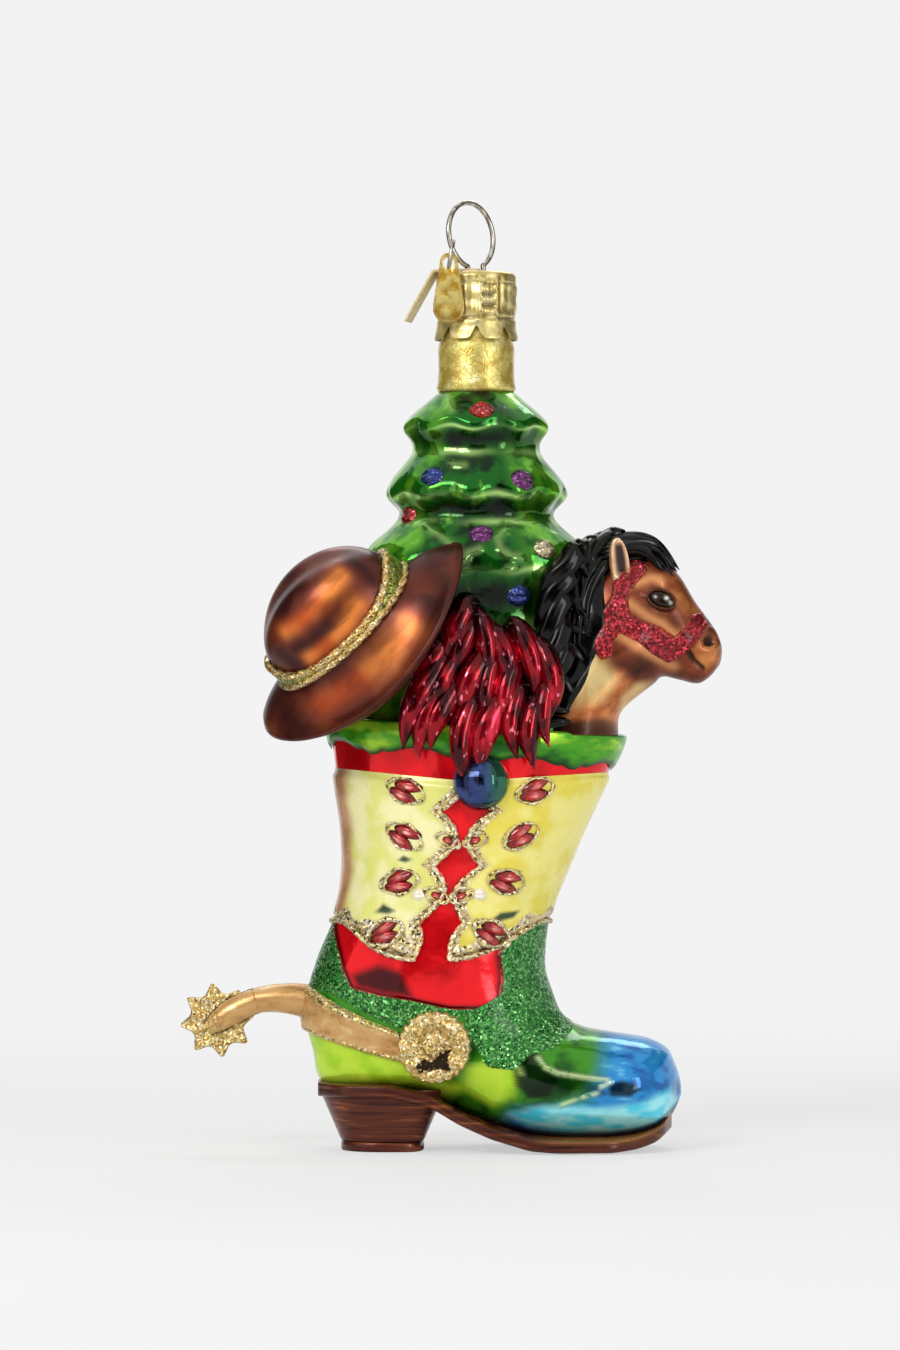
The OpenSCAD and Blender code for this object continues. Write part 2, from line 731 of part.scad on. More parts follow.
module card_tag() {
  color("wheat")
    translate([stem_x - hole_x * cos(hanger_turn), -hole_x * sin(hanger_turn), cap_top + seat_gap])
      rotate(card_heading) difference() {
        union() {
          translate([-card_reach, -card_w / 2, 0]) cube([card_reach + card_end, card_w, card_t]);
          translate([card_t - card_reach, -card_w / 2, card_t / 2]) rotate([0, 180 + card_slope, 0])
            cube([card_t, card_w, card_l]);
        }
        translate([0, 0, -1]) cylinder(h = card_t + 2, r = tag_hole_r, $fn = 32);
      }
}

// Hat

// Brim reaching further over the tree than to the floor
brim_shift = 0.8;
hat_at = [stem_x - 1.09 * tier3_r, -0.561 * tier3_r, boot_h + tier3_r];

// Outline of the crown at a height above the band, with the crease across its top
function crown_ring(z, grow) =
  let (f = max(z / crown_h, 0), k = sqrt(max(1 - pow(f, 3.2), 0.02)) * (1 - 0.12 * f))
  [for (j = [0:hat_n - 1])
    let (a = turn(hat_n, j), x = (crown_l / 2 * k + grow) * cos(a), y = (crown_w / 2 * k + grow) * sin(a))
    let (crease = f < 0.6 ? 0 : 2.4 * (f - 0.6) / 0.4 * max(0, 1 - abs(y) / 5))
    [x, y, z - crease]];

module crown_shape(grow) {
  skin(concat([crown_ring(-1.2, grow)], [for (f = [0:0.12:0.96]) crown_ring(f * crown_h, grow)],
              [crown_ring(0.995 * crown_h, grow)]));
}

// Brim from the crown to its edge: dips at the ends, rolls at the sides
function brim_ring(f, up) =
  [for (j = [0:hat_n - 1])
    let (a = turn(hat_n, j), l = lerp(crown_l / 2 + seat_gap, brim_l / 2, f))
    let (w = lerp(crown_w / 2 + seat_gap, brim_w / 2, f))
    let (drop = 3 * f * f * cos(a) * cos(a) + 7.4 * sin(120 * f) * sin(a) * sin(a))
    [l * cos(a) + brim_shift * f, w * sin(a), up - drop]];

module brim_shape(grow) {
  steps = 5;
  skin(concat([for (i = [0:steps]) brim_ring(i / steps, grow + brim_t / 2)],
              [for (i = [steps:-1:0]) brim_ring(i / steps, -grow - brim_t / 2)]), looped = true);
}

module hat_place() {
  translate(hat_at) rotate([0, -hat_tilt, 0]) rotate([hat_lean, 0, 0]) rotate(-hat_turn) children();
}

module band_shape(inside, outside) {
  low = brim_t / 2 + seat_gap;
  skin(concat([crown_ring(low, outside), crown_ring(low + band_h, outside)],
              [crown_ring(low + band_h, inside), crown_ring(low, inside)]), looped = true);
}

// Whole hat with its inside closed, used to seat other members on it
module hat_filled(grow) {
  hat_place() {
    crown_shape(grow);
    brim_shape(grow);
    band_shape(0, seat_gap + band_t + grow);
  }
}

// What the hat leans on
module hat_seat() {
  boot_filled(seat_gap);
  tree_filled(seat_gap);
}

module hat_crown() {
  color("sienna") sculpted() difference() {
    hat_place() crown_shape(0);
    hat_seat();
  }
}

module hat_brim() {
  color("saddlebrown") sculpted() difference() {
    hat_place() brim_shape(0);
    hat_seat();
  }
}

module hat_band() {
  color("gold") sculpted() difference() {
    hat_place() band_shape(seat_gap, seat_gap + band_t);
    hat_seat();
  }
}

// Horse

// Front line, throat line and half width from the neck to the nose, from the collar up
horse_profile = [[7.8, 2, 24, 2, 8.4], [9.5, 6.5, 24.6, 6, 8.2], [11.5, 14.5, 30, 10.6, 7.8],
                 [14.5, 23.5, 31, 11.6, 7.4], [19.5, 31, 32, 11.8, 7.2], [28.5, 33.5, 33.4, 11.5, 6.7],
                 [33.8, 29.5, 35, 11.1, 6.1], [37, 24.5, 36.6, 10.7, 5.3], [40, 20.3, 38, 10.8, 4.7],
                 [41.4, 17.1, 39.6, 11.9, 3.8], [41.5, 15.4, 41, 13.6, 1.8]];
horse_end = len(horse_profile) - 1;
horse_at = [stem_x + collar_w / 2 - 25, boot_h];

function horse_section(s) =
  let (q = curve(horse_profile, s) * head_size)
  [horse_at[0] + q[0], horse_at[1] + q[1], horse_at[0] + q[2], horse_at[1] + q[3], q[4]];

function horse_point(s, a, grow = 0) = on_section(horse_section(s), a, grow, horse_y);

function horse_ring(s, grow) = [for (j = [0:horse_n - 1]) horse_point(s, turn(horse_n, j), grow)];

module head_filled(grow) {
  skin([for (s = [0:0.5:horse_end]) horse_ring(s, grow)]);
}

// Strip over the head between two places and two angles, thickest in its middle
module head_strip(from, to, half, thick, steps, spans, inside) {
  rows = function (grow, swell) [for (i = [0:steps])
    [for (j = [0:spans])
      let (u = 2 * j / spans - 1)
      horse_point(lerp(from, to, i / steps), half * u, grow + swell * (1 - 0.8 * u * u))]];
  plate(rows(mane_gap + 0.2, thick), rows(inside, 0));
}

module mane_shape(inside, extra) {
  head_strip(0.9, 4.7, 82, mane_t + extra, 8, 8, inside);
  head_strip(4.4, 6.2, 40, 0.8 * mane_t + extra, 6, 6, inside + 0.1);
}

// Locks that fall from the neck over the tree: root and tip from the collar at the stem
lock_list = [[17, 33.5, 11, 25], [16, 29.5, 9.4, 20.5], [15, 25.5, 9, 15.5], [14.6, 21.5, 10, 11],
             [14.8, 17, 11.6, 7.5]];

module mane_locks(wider) {
  y = horse_y - 8.4;
  for (q = lock_list)
    pod([stem_x + q[0], y, boot_h + q[1]], [stem_x + q[2], y, boot_h + q[3]], lock_r, wider);
}

module horse_seat() {
  boot_filled(seat_gap);
  tree_filled(seat_gap);
}

module horse_head() {
  color("peru") sculpted() difference() {
    head_filled(0);
    horse_seat();
  }
}

// Both ears, each running up from inside the head
module ears_shape(grow) {
  for (side = [-1, 1])
    translate(horse_point(4.35, side * 50, 0)) rotate([-side * 14, -7, 0])
      skin([for (f = [0:0.25:1])
        let (r = grow + 1.9 * sqrt(max(1 - f * f, 0.02)) * (0.75 + 0.5 * f))
        [for (j = [0:9])
          let (a = turn(10, j))
          [r * cos(a), 0.7 * r * sin(a), f * (ear_l + grow) - 2]]]);
}

module horse_ears() {
  color("goldenrod") sculpted() difference() {
    ears_shape(0);
    head_filled(seat_gap);
  }
}

module horse_mane() {
  color("black") sculpted() difference() {
    union() {
      mane_shape(mane_gap, 0);
      difference() {
        mane_locks(0);
        head_filled(mane_gap);
      }
    }
    ears_shape(seat_gap);
    horse_seat();
  }
}

module horse_eyes() {
  color("black") sculpted() difference() {
    for (side = [-1, 1]) translate(horse_point(5.15, side * 77, -0.5)) sphere(eye_r, $fn = 12);
    head_filled(seat_gap);
    mane_shape(-1, seat_gap);
  }
}

// Strap right round the head
module head_loop(from, to, grow) {
  low = seat_gap;
  skin(concat([horse_ring(from, grow), horse_ring(to, grow)], [horse_ring(to, low), horse_ring(from, low)]),
       looped = true);
}

module cheek_strap(side, grow) {
  rows = function (g) [for (i = [0:8])
    [for (j = [-1, 1]) horse_point(lerp(4.5, 7.4, i / 8), side * (lerp(96, 104, i / 8) + 9 * j), g)]];
  plate(rows(grow), rows(seat_gap));
}

module horse_bridle() {
  over = seat_gap + bridle_t;
  color("red") sculpted() difference() {
    union() {
      head_loop(7.25, 7.75, over);
      head_loop(4.25, 4.6, over);
      for (side = [-1, 1]) cheek_strap(side, over);
    }
    mane_shape(-1, seat_gap);
    mane_locks(seat_gap);
    horse_seat();
    horse_ears();
    horse_eyes();
  }
}

// Chili peppers

// Top and tip of each pepper from the collar at the stem, and its share of the full radius
chili_list = [[-4.5, 16, -12.3, -0.5, 0.95], [-2.4, 11, -7.8, -0.5, 0.9], [0.3, 9.5, -1.6, -6.5, 1],
              [5.4, 9.5, 0.6, -4.6, 1.05], [7.8, 11, 6.8, -2, 0.9], [10.8, 9.5, 9.7, -3.8, 0.9],
              [-1, 25, -4, 12.5, 0.9], [0, 23, 0.3, 8, 0.95], [2.3, 20.5, 5, 8, 1], [6, 21.5, 9.5, 7, 0.9],
              [-5, 18, -10, 8, 0.85], [10.2, 18, 12.2, 4.5, 0.85], [2.3, 16.5, -2.4, 4.5, 0.95],
              [-0.2, 21.5, -3.2, 10.5, 0.85], [3.6, 16, 2.4, 3.5, 0.85], [-3, 15.5, -6.5, 5, 0.85],
              [-4.6, 11.5, -9.8, -2.4, 0.8], [12.4, 12, 12.2, 0, 0.8], [7, 15, 5.2, 3, 0.85]];

// Front of the tree or the boot at a height above the collar
function front_y(h) =
  lookup(h, [[-7, -collar_d / 2 - 1.2], [2, -collar_d / 2 - 0.8],
             [8, -tree_low_r * tree_flat - 1.3], [26, (1.1 - tier3_r) * tree_flat - 0.3]]);

module chili(q, wider) {
  pod([stem_x + q[0], front_y(q[1]), boot_h + q[1]], [stem_x + q[2], front_y(q[3]), boot_h + q[3]],
      chili_r * q[4], wider);
}

big_bauble_at = [stem_x + 0.7, 1.5 - collar_d / 2, boot_h - 5.8];

module chili_peppers() {
  color("darkred") sculpted() difference() {
    union() {
      for (q = chili_list) chili(q, 0);
    }
    boot_filled(seat_gap);
    tree_filled(seat_gap);
    hat_filled(seat_gap);
    head_filled(seat_gap);
    mane_shape(-1, seat_gap);
    mane_locks(seat_gap);
  }
}

module big_bauble() {
  color("mediumblue") sculpted() difference() {
    translate(big_bauble_at) sphere(big_bauble_r, $fn = 20);
    boot_filled(2 * seat_gap);
    tree_filled(seat_gap);
    for (q = chili_list) chili(q, seat_gap);
  }
}

boot_shaft();
boot_foot();
boot_collar();
front_panel();
back_panel();
panel_rosettes();
boot_sole();
boot_heel();
heel_lift();
spur_strap();
conchos();
spur_shank();
spur_rowel();
rowel_pin();
tree();
tree_baubles();
big_bauble();
neck();
hat_crown();
hat_brim();
hat_band();
horse_head();
horse_mane();
horse_ears();
horse_eyes();
horse_bridle();
chili_peppers();
cap();
hanger_wire();
tag_ring();
gold_tag();
card_tag();
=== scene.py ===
# %% [markdown]
# A blown glass boot ornament is one thin bubble of glass, silvered inside, lacquered and glittered by hand.
# The solids already give every member its size and place, so this lesson only dresses them.
# Each member is modelled again as a smooth skin from the same curves, then painted with node materials.

# %% Load the measured solids
import math

import bmesh
import bpy
import numpy as np
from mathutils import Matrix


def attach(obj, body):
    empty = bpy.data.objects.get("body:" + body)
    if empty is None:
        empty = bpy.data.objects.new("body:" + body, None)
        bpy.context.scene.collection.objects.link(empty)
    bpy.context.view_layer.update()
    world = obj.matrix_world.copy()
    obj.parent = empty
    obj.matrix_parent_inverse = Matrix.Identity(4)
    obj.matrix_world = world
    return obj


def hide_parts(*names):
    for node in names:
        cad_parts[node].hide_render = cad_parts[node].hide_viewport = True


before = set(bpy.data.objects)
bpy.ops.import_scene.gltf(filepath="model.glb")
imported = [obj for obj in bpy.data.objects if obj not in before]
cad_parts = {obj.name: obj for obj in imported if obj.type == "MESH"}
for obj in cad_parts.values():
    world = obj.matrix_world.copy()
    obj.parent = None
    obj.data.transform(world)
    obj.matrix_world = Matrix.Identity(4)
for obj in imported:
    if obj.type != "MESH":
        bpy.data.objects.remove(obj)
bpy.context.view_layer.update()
MM = 0.001

# %% [markdown]
# The camera stands level with the middle of the ornament, a metre away with a long lens, as for a
# catalogue. A near camera would swell the toe; from afar the outline stays almost flat. A pixel of the
# picture is then about 0.17 mm all over the ornament, so paint borders can be drawn in picture pixels.

# %% Camera and picture plane
PIXEL = 0.17
HEEL_PIXEL = (388.0, 1149.0)
PICTURE = (900, 1350)
CAMERA_AWAY = 1.0
SENSOR = 36.0


def on_picture(x, y):
    """Place in millimetres, across and up, of a pixel of the picture."""
    return (x - HEEL_PIXEL[0]) * PIXEL, (HEEL_PIXEL[1] - y) * PIXEL


def put(name, data):
    """A new object in the scene."""
    made = bpy.data.objects.new(name, data)
    bpy.context.scene.collection.objects.link(made)
    return made


camera = put("camera", bpy.data.cameras.new("camera"))
middle = on_picture(PICTURE[0] / 2, PICTURE[1] / 2)
camera.location = (middle[0] * MM, -CAMERA_AWAY, middle[1] * MM)
camera.rotation_euler = (math.radians(90), 0, 0)
camera.data.sensor_fit = "VERTICAL"
camera.data.sensor_height = SENSOR
camera.data.lens = SENSOR * CAMERA_AWAY / (PICTURE[1] * PIXEL * MM)
bpy.context.scene.camera = camera
print("picture middle, mm:", middle)

# %% [markdown]
# Every shape here comes from a few plain curves: a smooth line through points, a soft step and a soft hump.
# They could be drawn by hand as curve objects, but functions can be added, multiplied and measured.

# %% Curves and soft steps
def spline(points, s):
    """Smooth curve through the points; s counts the points."""
    p = np.asarray(points, float)
    s = np.asarray(s, float)
    i = np.clip(np.floor(s).astype(int), 0, len(p) - 2)
    t = (s - i)[..., None]
    a = p[np.maximum(i - 1, 0)]
    b = p[i]
    c = p[i + 1]
    d = p[np.minimum(i + 2, len(p) - 1)]
    return 0.5 * (2 * b + (c - a) * t + (2 * a - 5 * b + 4 * c - d) * t ** 2
                  + (3 * b - a - 3 * c + d) * t ** 3)


def ease(x, low, high):
    """0 under low, 1 over high, smooth between."""
    t = np.clip((np.asarray(x, float) - low) / (high - low), 0, 1)
    return t * t * (3 - 2 * t)


def bell(x, middle, width):
    """Soft hump of height 1."""
    return np.exp(-(((np.asarray(x, float) - middle) / width) ** 2))


def cosd(a):
    return np.cos(np.radians(a))


def sind(a):
    return np.sin(np.radians(a))


def blend(a, b, t):
    return a + (b - a) * t


def boxy(x, power):
    """A sine or cosine drawn towards a box by a power under 1, towards a point by one over 1."""
    return np.sign(x) * np.abs(x) ** power


def unit(way):
    """The same direction with length 1."""
    return way / np.linalg.norm(way)


def swung(a, b, angle):
    """Two coordinates turned by an angle in their plane."""
    return a * cosd(angle) - b * sind(angle), a * sind(angle) + b * cosd(angle)


print("half way up a soft step:", float(ease(0.5, 0, 1)))

# %% [markdown]
# Every skin is a row of rings joined by quads, as a potter stacks coils of clay. One small class gathers
# such skins and hands them over as one piece with its finish, its body and its solids. Paint borders ride
# along as one number per point, so a brush stroke stays on the glass in every view.

# %% Clay
def quads_between(rows, cols, wrap=True):
    """Corner numbers of the quads between rings of points."""
    index = np.arange(rows * cols).reshape(rows, cols)
    turned = np.roll(index, -1, axis=1)
    last = cols if wrap else cols - 1
    return np.stack([index[:-1], index[1:], turned[1:], turned[:-1]], -1)[:, :last].reshape(-1, 4)


def carry(mesh, name, values):
    """Puts one number per point on a mesh."""
    mesh.attributes.new(name, "FLOAT", "POINT").data.foreach_set("value", values.astype(np.float32))


class Clay:
    """Gathers skins, in millimetres, and hands them over as one piece."""

    def __init__(self):
        self.points = []
        self.faces = []
        self.masks = []
        self.size = 0

    def skin(self, rings, wrap=True, start=True, end=True, keep=None, **masks):
        """Joins rings by quads and closes the ends; keep marks the points whose quads stay."""
        rings = np.asarray(rings, float)
        rows, cols = rings.shape[:2]
        quads = quads_between(rows, cols, wrap)
        if keep is not None:
            quads = quads[keep.ravel()[quads].any(axis=1)]
        self.faces += (quads + self.size).tolist()
        first = np.arange(cols) + self.size
        if wrap and start:
            self.faces.append(first.tolist())
        if wrap and end:
            self.faces.append((first + (rows - 1) * cols)[::-1].tolist())
        self.points.append(rings.reshape(-1, 3))
        spread = {k: np.broadcast_to(np.asarray(v, float), (rows, cols)).ravel() for k, v in masks.items()}
        self.masks.append((rows * cols, spread))
        self.size += rows * cols

    def piece(self, name, finish, nodes, slot, body="ornament", sheet=False, crease=None):
        """Makes one mesh of the skins, hangs it on its body and hides the solids that it stands for."""
        mesh = bpy.data.meshes.new(name)
        mesh.from_pydata((np.concatenate(self.points) * MM).tolist(), [], self.faces)
        for key in sorted({k for _, spread in self.masks for k in spread}):
            carry(mesh, key, np.concatenate([spread.get(key, np.zeros(n)) for n, spread in self.masks]))
        if not sheet:
            b = bmesh.new()
            b.from_mesh(mesh)
            bmesh.ops.recalc_face_normals(b, faces=b.faces)
            b.to_mesh(mesh)
            b.free()
        mesh.polygons.foreach_set("use_smooth", np.ones(len(mesh.polygons), bool))
        if crease:
            mesh.set_sharp_from_angle(angle=math.radians(crease))
        mesh.materials.append(finish)
        made = put(name, mesh)
        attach(made, body)
        if nodes:
            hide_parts(*nodes)
        print(name, "points:", len(mesh.vertices))


print("quads between two rings of eight points:", len(quads_between(2, 8)))

# %% [markdown]
# Wires, ropes and locks are tubes along a path. Paint borders are outlines and strokes, drawn on the
# picture and thrown straight back on the skin, as through a stencil. A painted image could carry them
# too, but a few corner points stay sharp at any size and need no file.

# %% Tubes and stencils
TINY = 1e-9


def tube_rings(path, radius, sides=12, lobes=0, twist=0.0, flat=1.0, depth=0.2):
    """Rings along a path; lobes that turn along it make the strands of a rope."""
    path = np.asarray(path, float)
    radius = np.broadcast_to(np.asarray(radius, float), (len(path),))
    ahead = np.gradient(path, axis=0)
    ahead /= np.linalg.norm(ahead, axis=1)[:, None]
    side = np.cross(ahead[0], (0.31, 0.17, 0.93))
    gone = np.concatenate([[0], np.cumsum(np.linalg.norm(np.diff(path, axis=0), axis=1))])
    rings = []
    turn = np.arange(sides) * 2 * np.pi / sides
    for k in range(len(path)):
        side = side - ahead[k] * np.dot(side, ahead[k])
        side = side / np.linalg.norm(side)
        up = np.cross(ahead[k], side)
        r = radius[k] * (1 + depth * np.cos(lobes * turn - twist * gone[k])) if lobes else radius[k]
        rings.append(path[k] + (r * np.cos(turn))[:, None] * side + (r * flat * np.sin(turn))[:, None] * up)
    return np.array(rings)


def stretch_gap(points, start, end):
    """Distance from points, seen from the front, to a straight stretch."""
    x = points[..., 0] - start[0]
    z = points[..., 2] - start[1]
    way = end - start
    t = np.clip((x * way[0] + z * way[1]) / max(way @ way, TINY), 0, 1)
    return np.hypot(x - t * way[0], z - t * way[1])


def line_distance(points, line):
    """Distance to an open line drawn in picture pixels, in millimetres."""
    marks = np.array([on_picture(*q) for q in line])
    return np.min([stretch_gap(points, p, q) for p, q in zip(marks[:-1], marks[1:])], axis=0)


def outline_distance(points, outline):
    """Distance inside an outline drawn in picture pixels, negative outside, in millimetres."""
    ring = np.array([on_picture(*q) for q in outline])
    inside = np.zeros(points.shape[:-1], bool)
    for (x0, z0), (x1, z1) in zip(ring, np.roll(ring, -1, axis=0)):
        rise = z1 - z0 if z1 != z0 else TINY
        crossing = (z0 > points[..., 2]) != (z1 > points[..., 2])
        inside ^= crossing & (points[..., 0] < x0 + (points[..., 2] - z0) * (x1 - x0) / rise)
    nearest = line_distance(points, [*outline, outline[0]])
    return np.where(inside, nearest, -nearest)


def spot(points, outline, soft):
    """1 inside an outline of the picture, 0 outside, soft at the border."""
    return ease(outline_distance(points, outline), -soft, soft)


def spots(points, outlines, soft):
    """1 inside any of the outlines."""
    return np.max([spot(points, p, soft) for p in outlines], axis=0)


def strokes(points, lines, width):
    """Brush strokes along lines of the picture."""
    return np.max([bell(line_distance(points, p), 0, width) for p in lines], axis=0)


print("picture pixels to a centimetre:", 10 / PIXEL)

# %% [markdown]
# Materials are sums: lacquer over silver, glitter over glue, a little noise for the hand that painted it.
# The class below lets such sums be written as plain expressions; each one adds the nodes that it needs.

# %% Paint box
class Tone:
    """One socket of a material, for use in expressions."""

    def __init__(self, tree, socket=None):
        self.tree = tree
        self.socket = socket

    def node(self, kind, settings=None, values=None, out=0):
        made = self.tree.nodes.new(kind)
        for key, value in (settings or {}).items():
            if key == "stops":
                ramp = made.color_ramp
                while len(ramp.elements) < len(value):
                    ramp.elements.new(0.5)
                for element, (place, colour) in zip(ramp.elements, value):
                    element.position = place
                    element.color = (*colour, 1)
            else:
                setattr(made, key, value)
        for key, value in (values or {}).items():
            if isinstance(value, Tone):
                self.tree.links.new(value.socket, made.inputs[key])
            else:
                made.inputs[key].default_value = value
        return Tone(self.tree, made.outputs[out])

    def sum(self, kind, a, b):
        return self.node("ShaderNodeMath", {"operation": kind}, {0: a, 1: b})

    def __add__(self, other):
        return self.sum("ADD", self, other)

    def __radd__(self, other):
        return self.sum("ADD", other, self)

    def __sub__(self, other):
        return self.sum("SUBTRACT", self, other)

    def __rsub__(self, other):
        return self.sum("SUBTRACT", other, self)

    def __mul__(self, other):
        return self.sum("MULTIPLY", self, other)

    def __rmul__(self, other):
        return self.sum("MULTIPLY", other, self)

    def step(self, low, high):
        """0 under low, 1 over high, smooth between."""
        return self.node("ShaderNodeMapRange", {"interpolation_type": "SMOOTHSTEP"},
                         {"Value": self, "From Min": low, "From Max": high})

    def mix(self, a, b):
        """Colour a where this tone is 0, colour b where it is 1."""
        return self.node("ShaderNodeMix", {"data_type": "RGBA"}, {0: self, 6: a, 7: b}, out=2)

    def shades(self, lower, upper, dark, mid, light):
        """Dark paint, mid paint above the lower step and light paint above the upper one."""
        return self.step(*upper).mix(self.step(*lower).mix(dark, mid), light)

    def other(self, out):
        """Another output of the node that this tone comes from."""
        return Tone(self.tree, self.socket.node.outputs[out])

    def place(self):
        """Place on the ornament, in metres."""
        return self.node("ShaderNodeTexCoord", out=3)

    def mask(self, name):
        """Paint border that rides on the points of the piece."""
        return self.node("ShaderNodeAttribute", {"attribute_name": name}, out=2)

    def noise(self, size_mm, detail=2.0, stretch=(1, 1, 1), rough=0.5, lean=0):
        """Clouds of a given size, squeezed along the axes or leaned over where asked."""
        at = self.place()
        if lean:
            at = self.node("ShaderNodeVectorRotate", {"rotation_type": "Y_AXIS"},
                           {"Vector": at, "Angle": math.radians(lean)})
        if stretch != (1, 1, 1):
            at = self.node("ShaderNodeVectorMath", {"operation": "MULTIPLY"}, {0: at, 1: stretch})
        values = {"Vector": at, "Scale": 1 / (size_mm * MM), "Detail": detail, "Roughness": rough}
        return self.node("ShaderNodeTexNoise", {}, values)

    def flakes(self, size_mm):
        """A different random colour for each flake."""
        values = {"Vector": self.place(), "Scale": 1 / (size_mm * MM)}
        return self.node("ShaderNodeTexVoronoi", {}, values, out=1)

    def bump(self, height, strength=0.3, deep_mm=0.1):
        """Surface direction over small hills of this height."""
        values = {"Height": height, "Strength": strength, "Distance": deep_mm * MM}
        return self.node("ShaderNodeBump", {}, values)

    def tilt(self, flakes, amount):
        """Surface direction turned at random on each flake."""
        lean = self.node("ShaderNodeVectorMath", {"operation": "SUBTRACT"}, {0: flakes, 1: (0.5, 0.5, 0.5)})
        lean = self.node("ShaderNodeVectorMath", {"operation": "SCALE"}, {0: lean, "Scale": amount})
        straight = self.node("ShaderNodeNewGeometry", out=1)
        turned = self.node("ShaderNodeVectorMath", {"operation": "ADD"}, {0: straight, 1: lean})
        return self.node("ShaderNodeVectorMath", {"operation": "NORMALIZE"}, {0: turned})

    def coat(self, colour, **sockets):
        """The shader of a painted surface; a socket's spaces are written as underscores."""
        values = {"Base Color": colour}
        values.update({k.replace("_", " "): v for k, v in sockets.items()})
        return self.node("ShaderNodeBsdfPrincipled", {}, values)

    def over(self, under, top):
        """Shader under where this tone is 0, shader top where it is 1."""
        return self.node("ShaderNodeMixShader", {}, {0: self, 1: under, 2: top})


def rgb(text):
    """Colour as seen on a screen, for a socket."""
    parts = [int(text[i:i + 2], 16) / 255 for i in (0, 2, 4)]
    return tuple(p / 12.92 if p <= 0.04045 else ((p + 0.055) / 1.055) ** 2.4 for p in parts) + (1.0,)


def finish(name, build):
    """A material whose surface is what build makes of an empty tree."""
    made = bpy.data.materials.new(name)
    made.use_nodes = True
    tree = made.node_tree
    tree.nodes.clear()
    out = tree.nodes.new("ShaderNodeOutputMaterial")
    tree.links.new(build(Tone(tree)).socket, out.inputs["Surface"])
    return made


print("a mid grey for a socket:", rgb("808080"))

# %% [markdown]
# Silvered lacquer is a mirror under clear colour: high metal, low roughness, a clear coat, and soft waves
# in the blown wall. Glitter is thousands of tiny flat mirrors, each tipped its own way. Brushed satin
# paint carries bronze powder, so it streaks light and dark along the stroke. A plain colour would do for
# none of them.

# %% Finishes
GOLD_DARK = rgb("8a6a2c")
GOLD_MID = rgb("d0ad62")
GOLD_LIGHT = rgb("fff2c4")


def lacquer(t, colour, rough=0.1, metal=0.6, wave=0.35, dimples=0.0):
    blown = t.noise(9, 2.0)
    fine = t.noise(1.3, 3.0)
    if dimples:
        blown = blown + dimples * t.noise(3.2, 1.0)
    worn = rough + 0.10 * t.noise(4, 3.0).step(0.45, 0.75)
    return t.coat(colour, Metallic=metal, Roughness=worn, Specular_IOR_Level=0.2, Coat_Weight=0.25,
                  Coat_Roughness=0.04, Normal=t.bump(blown + 0.06 * fine, wave, 1.6))


def glitter(t, dark, mid, light, size_mm=0.34, lean=0.9):
    flake = t.flakes(size_mm)
    pick = t.node("ShaderNodeSeparateColor", {}, {"Color": flake})
    colour = pick.step(0.05, 0.45).mix(dark, mid)
    bright = pick.other(1).step(0.55, 0.9)
    return t.coat(bright.mix(colour, light), Metallic=0.75, Roughness=0.22 + 0.25 * pick, Coat_Weight=0.25,
                  Coat_Roughness=0.1, Normal=t.tilt(flake, lean))


def satin(t, dark, mid, light, stroke, size_mm, metal, rough):
    streak = t.noise(size_mm, 4.0, stretch=stroke, rough=0.6)
    colour = streak.shades((0.3, 0.52), (0.54, 0.74), dark, mid, light)
    grain = t.noise(0.35, 2.0)
    return t.coat(colour, Metallic=metal, Roughness=rough + 0.14 * grain, Specular_IOR_Level=0.25,
                  Coat_Weight=0.15, Coat_Roughness=0.12, Normal=t.bump(streak + 0.25 * grain, 0.25, 0.35))


def sprinkled(t, name):
    """A paint border broken into grains, as glitter falls on glue."""
    return (t.mask(name) + 0.9 * t.noise(0.45, 2.0)).step(0.85, 1.05)


def green_dust(t):
    return glitter(t, rgb("0c4018"), rgb("28782a"), rgb("80ca74"), 0.32)


def gold_dust(t):
    return glitter(t, GOLD_DARK, GOLD_MID, GOLD_LIGHT)


def lace_dust(t):
    return glitter(t, rgb("5c4420"), rgb("dcc68c"), rgb("fff8e0"), 0.42)


print("gold for a socket:", GOLD_MID)

# %% [markdown]
# The boot is one loft. Its sections start level at the collar and lean forward until they stand upright at
# the toe, so a single place along the boot and a single angle round it name any spot on the glass. Separate
# shells would need hidden joints; on one surface every seam is a line that is drawn on it.

# %% Boot curves
BOOT_H = 68.5
ANKLE_Z = 41.0
ANKLE_X = 9.6
SHAFT_W = (36.0, 50.0)
SHAFT_D = (27.0, 33.0)
SHAFT_STEPS = 4
COLLAR_W = 3.4
LEAF_TIPS = 8
SEAM_AT = 4.65
SEAM_WAVE = 1.9
COUNTER = 14.0
TOE = 49.5
STEM_X = 15.0
FOOT_D = 26.0
INSTEP = (29.5, 23.0)
HEEL_H = 9.2
SOLE_T = 2.6
ARCH = np.array([[-COUNTER - 2, HEEL_H], [0, HEEL_H], [7, HEEL_H - 1.6], [12, HEEL_H / 2], [17.5, 2.2],
                 [24, 0.3], [28, 0], [TOE - 11.5, 0], [TOE - 7.5, 0.5], [TOE - 4, 1.6], [TOE - 1, 4],
                 [TOE + 2, 6.5]])
MOUTH_RISE = (1.6, 4.8)


def under_sole(x):
    """Height of the sole's underside."""
    return np.interp(x, ARCH[:, 0], ARCH[:, 1])


def shaft_section(f):
    """Front and back point and half depth of the shaft, from the ankle at 0 to the mouth at 1."""
    w = blend(*SHAFT_W, f ** 1.6) / 2
    x = blend(ANKLE_X, STEM_X, f ** 0.75)
    z = blend(ANKLE_Z, BOOT_H, f)
    front, back = MOUTH_RISE if f == 1 else (0, 0)
    return [x + w, z + front, x - w, z + back, blend(*SHAFT_D, f) / 2]


def foot_section(along, top, back, half):
    """The same for the foot, whose sections stand on the sole."""
    return [blend(INSTEP[0], TOE, along), top, back, under_sole(back) + SOLE_T - 0.9, half]


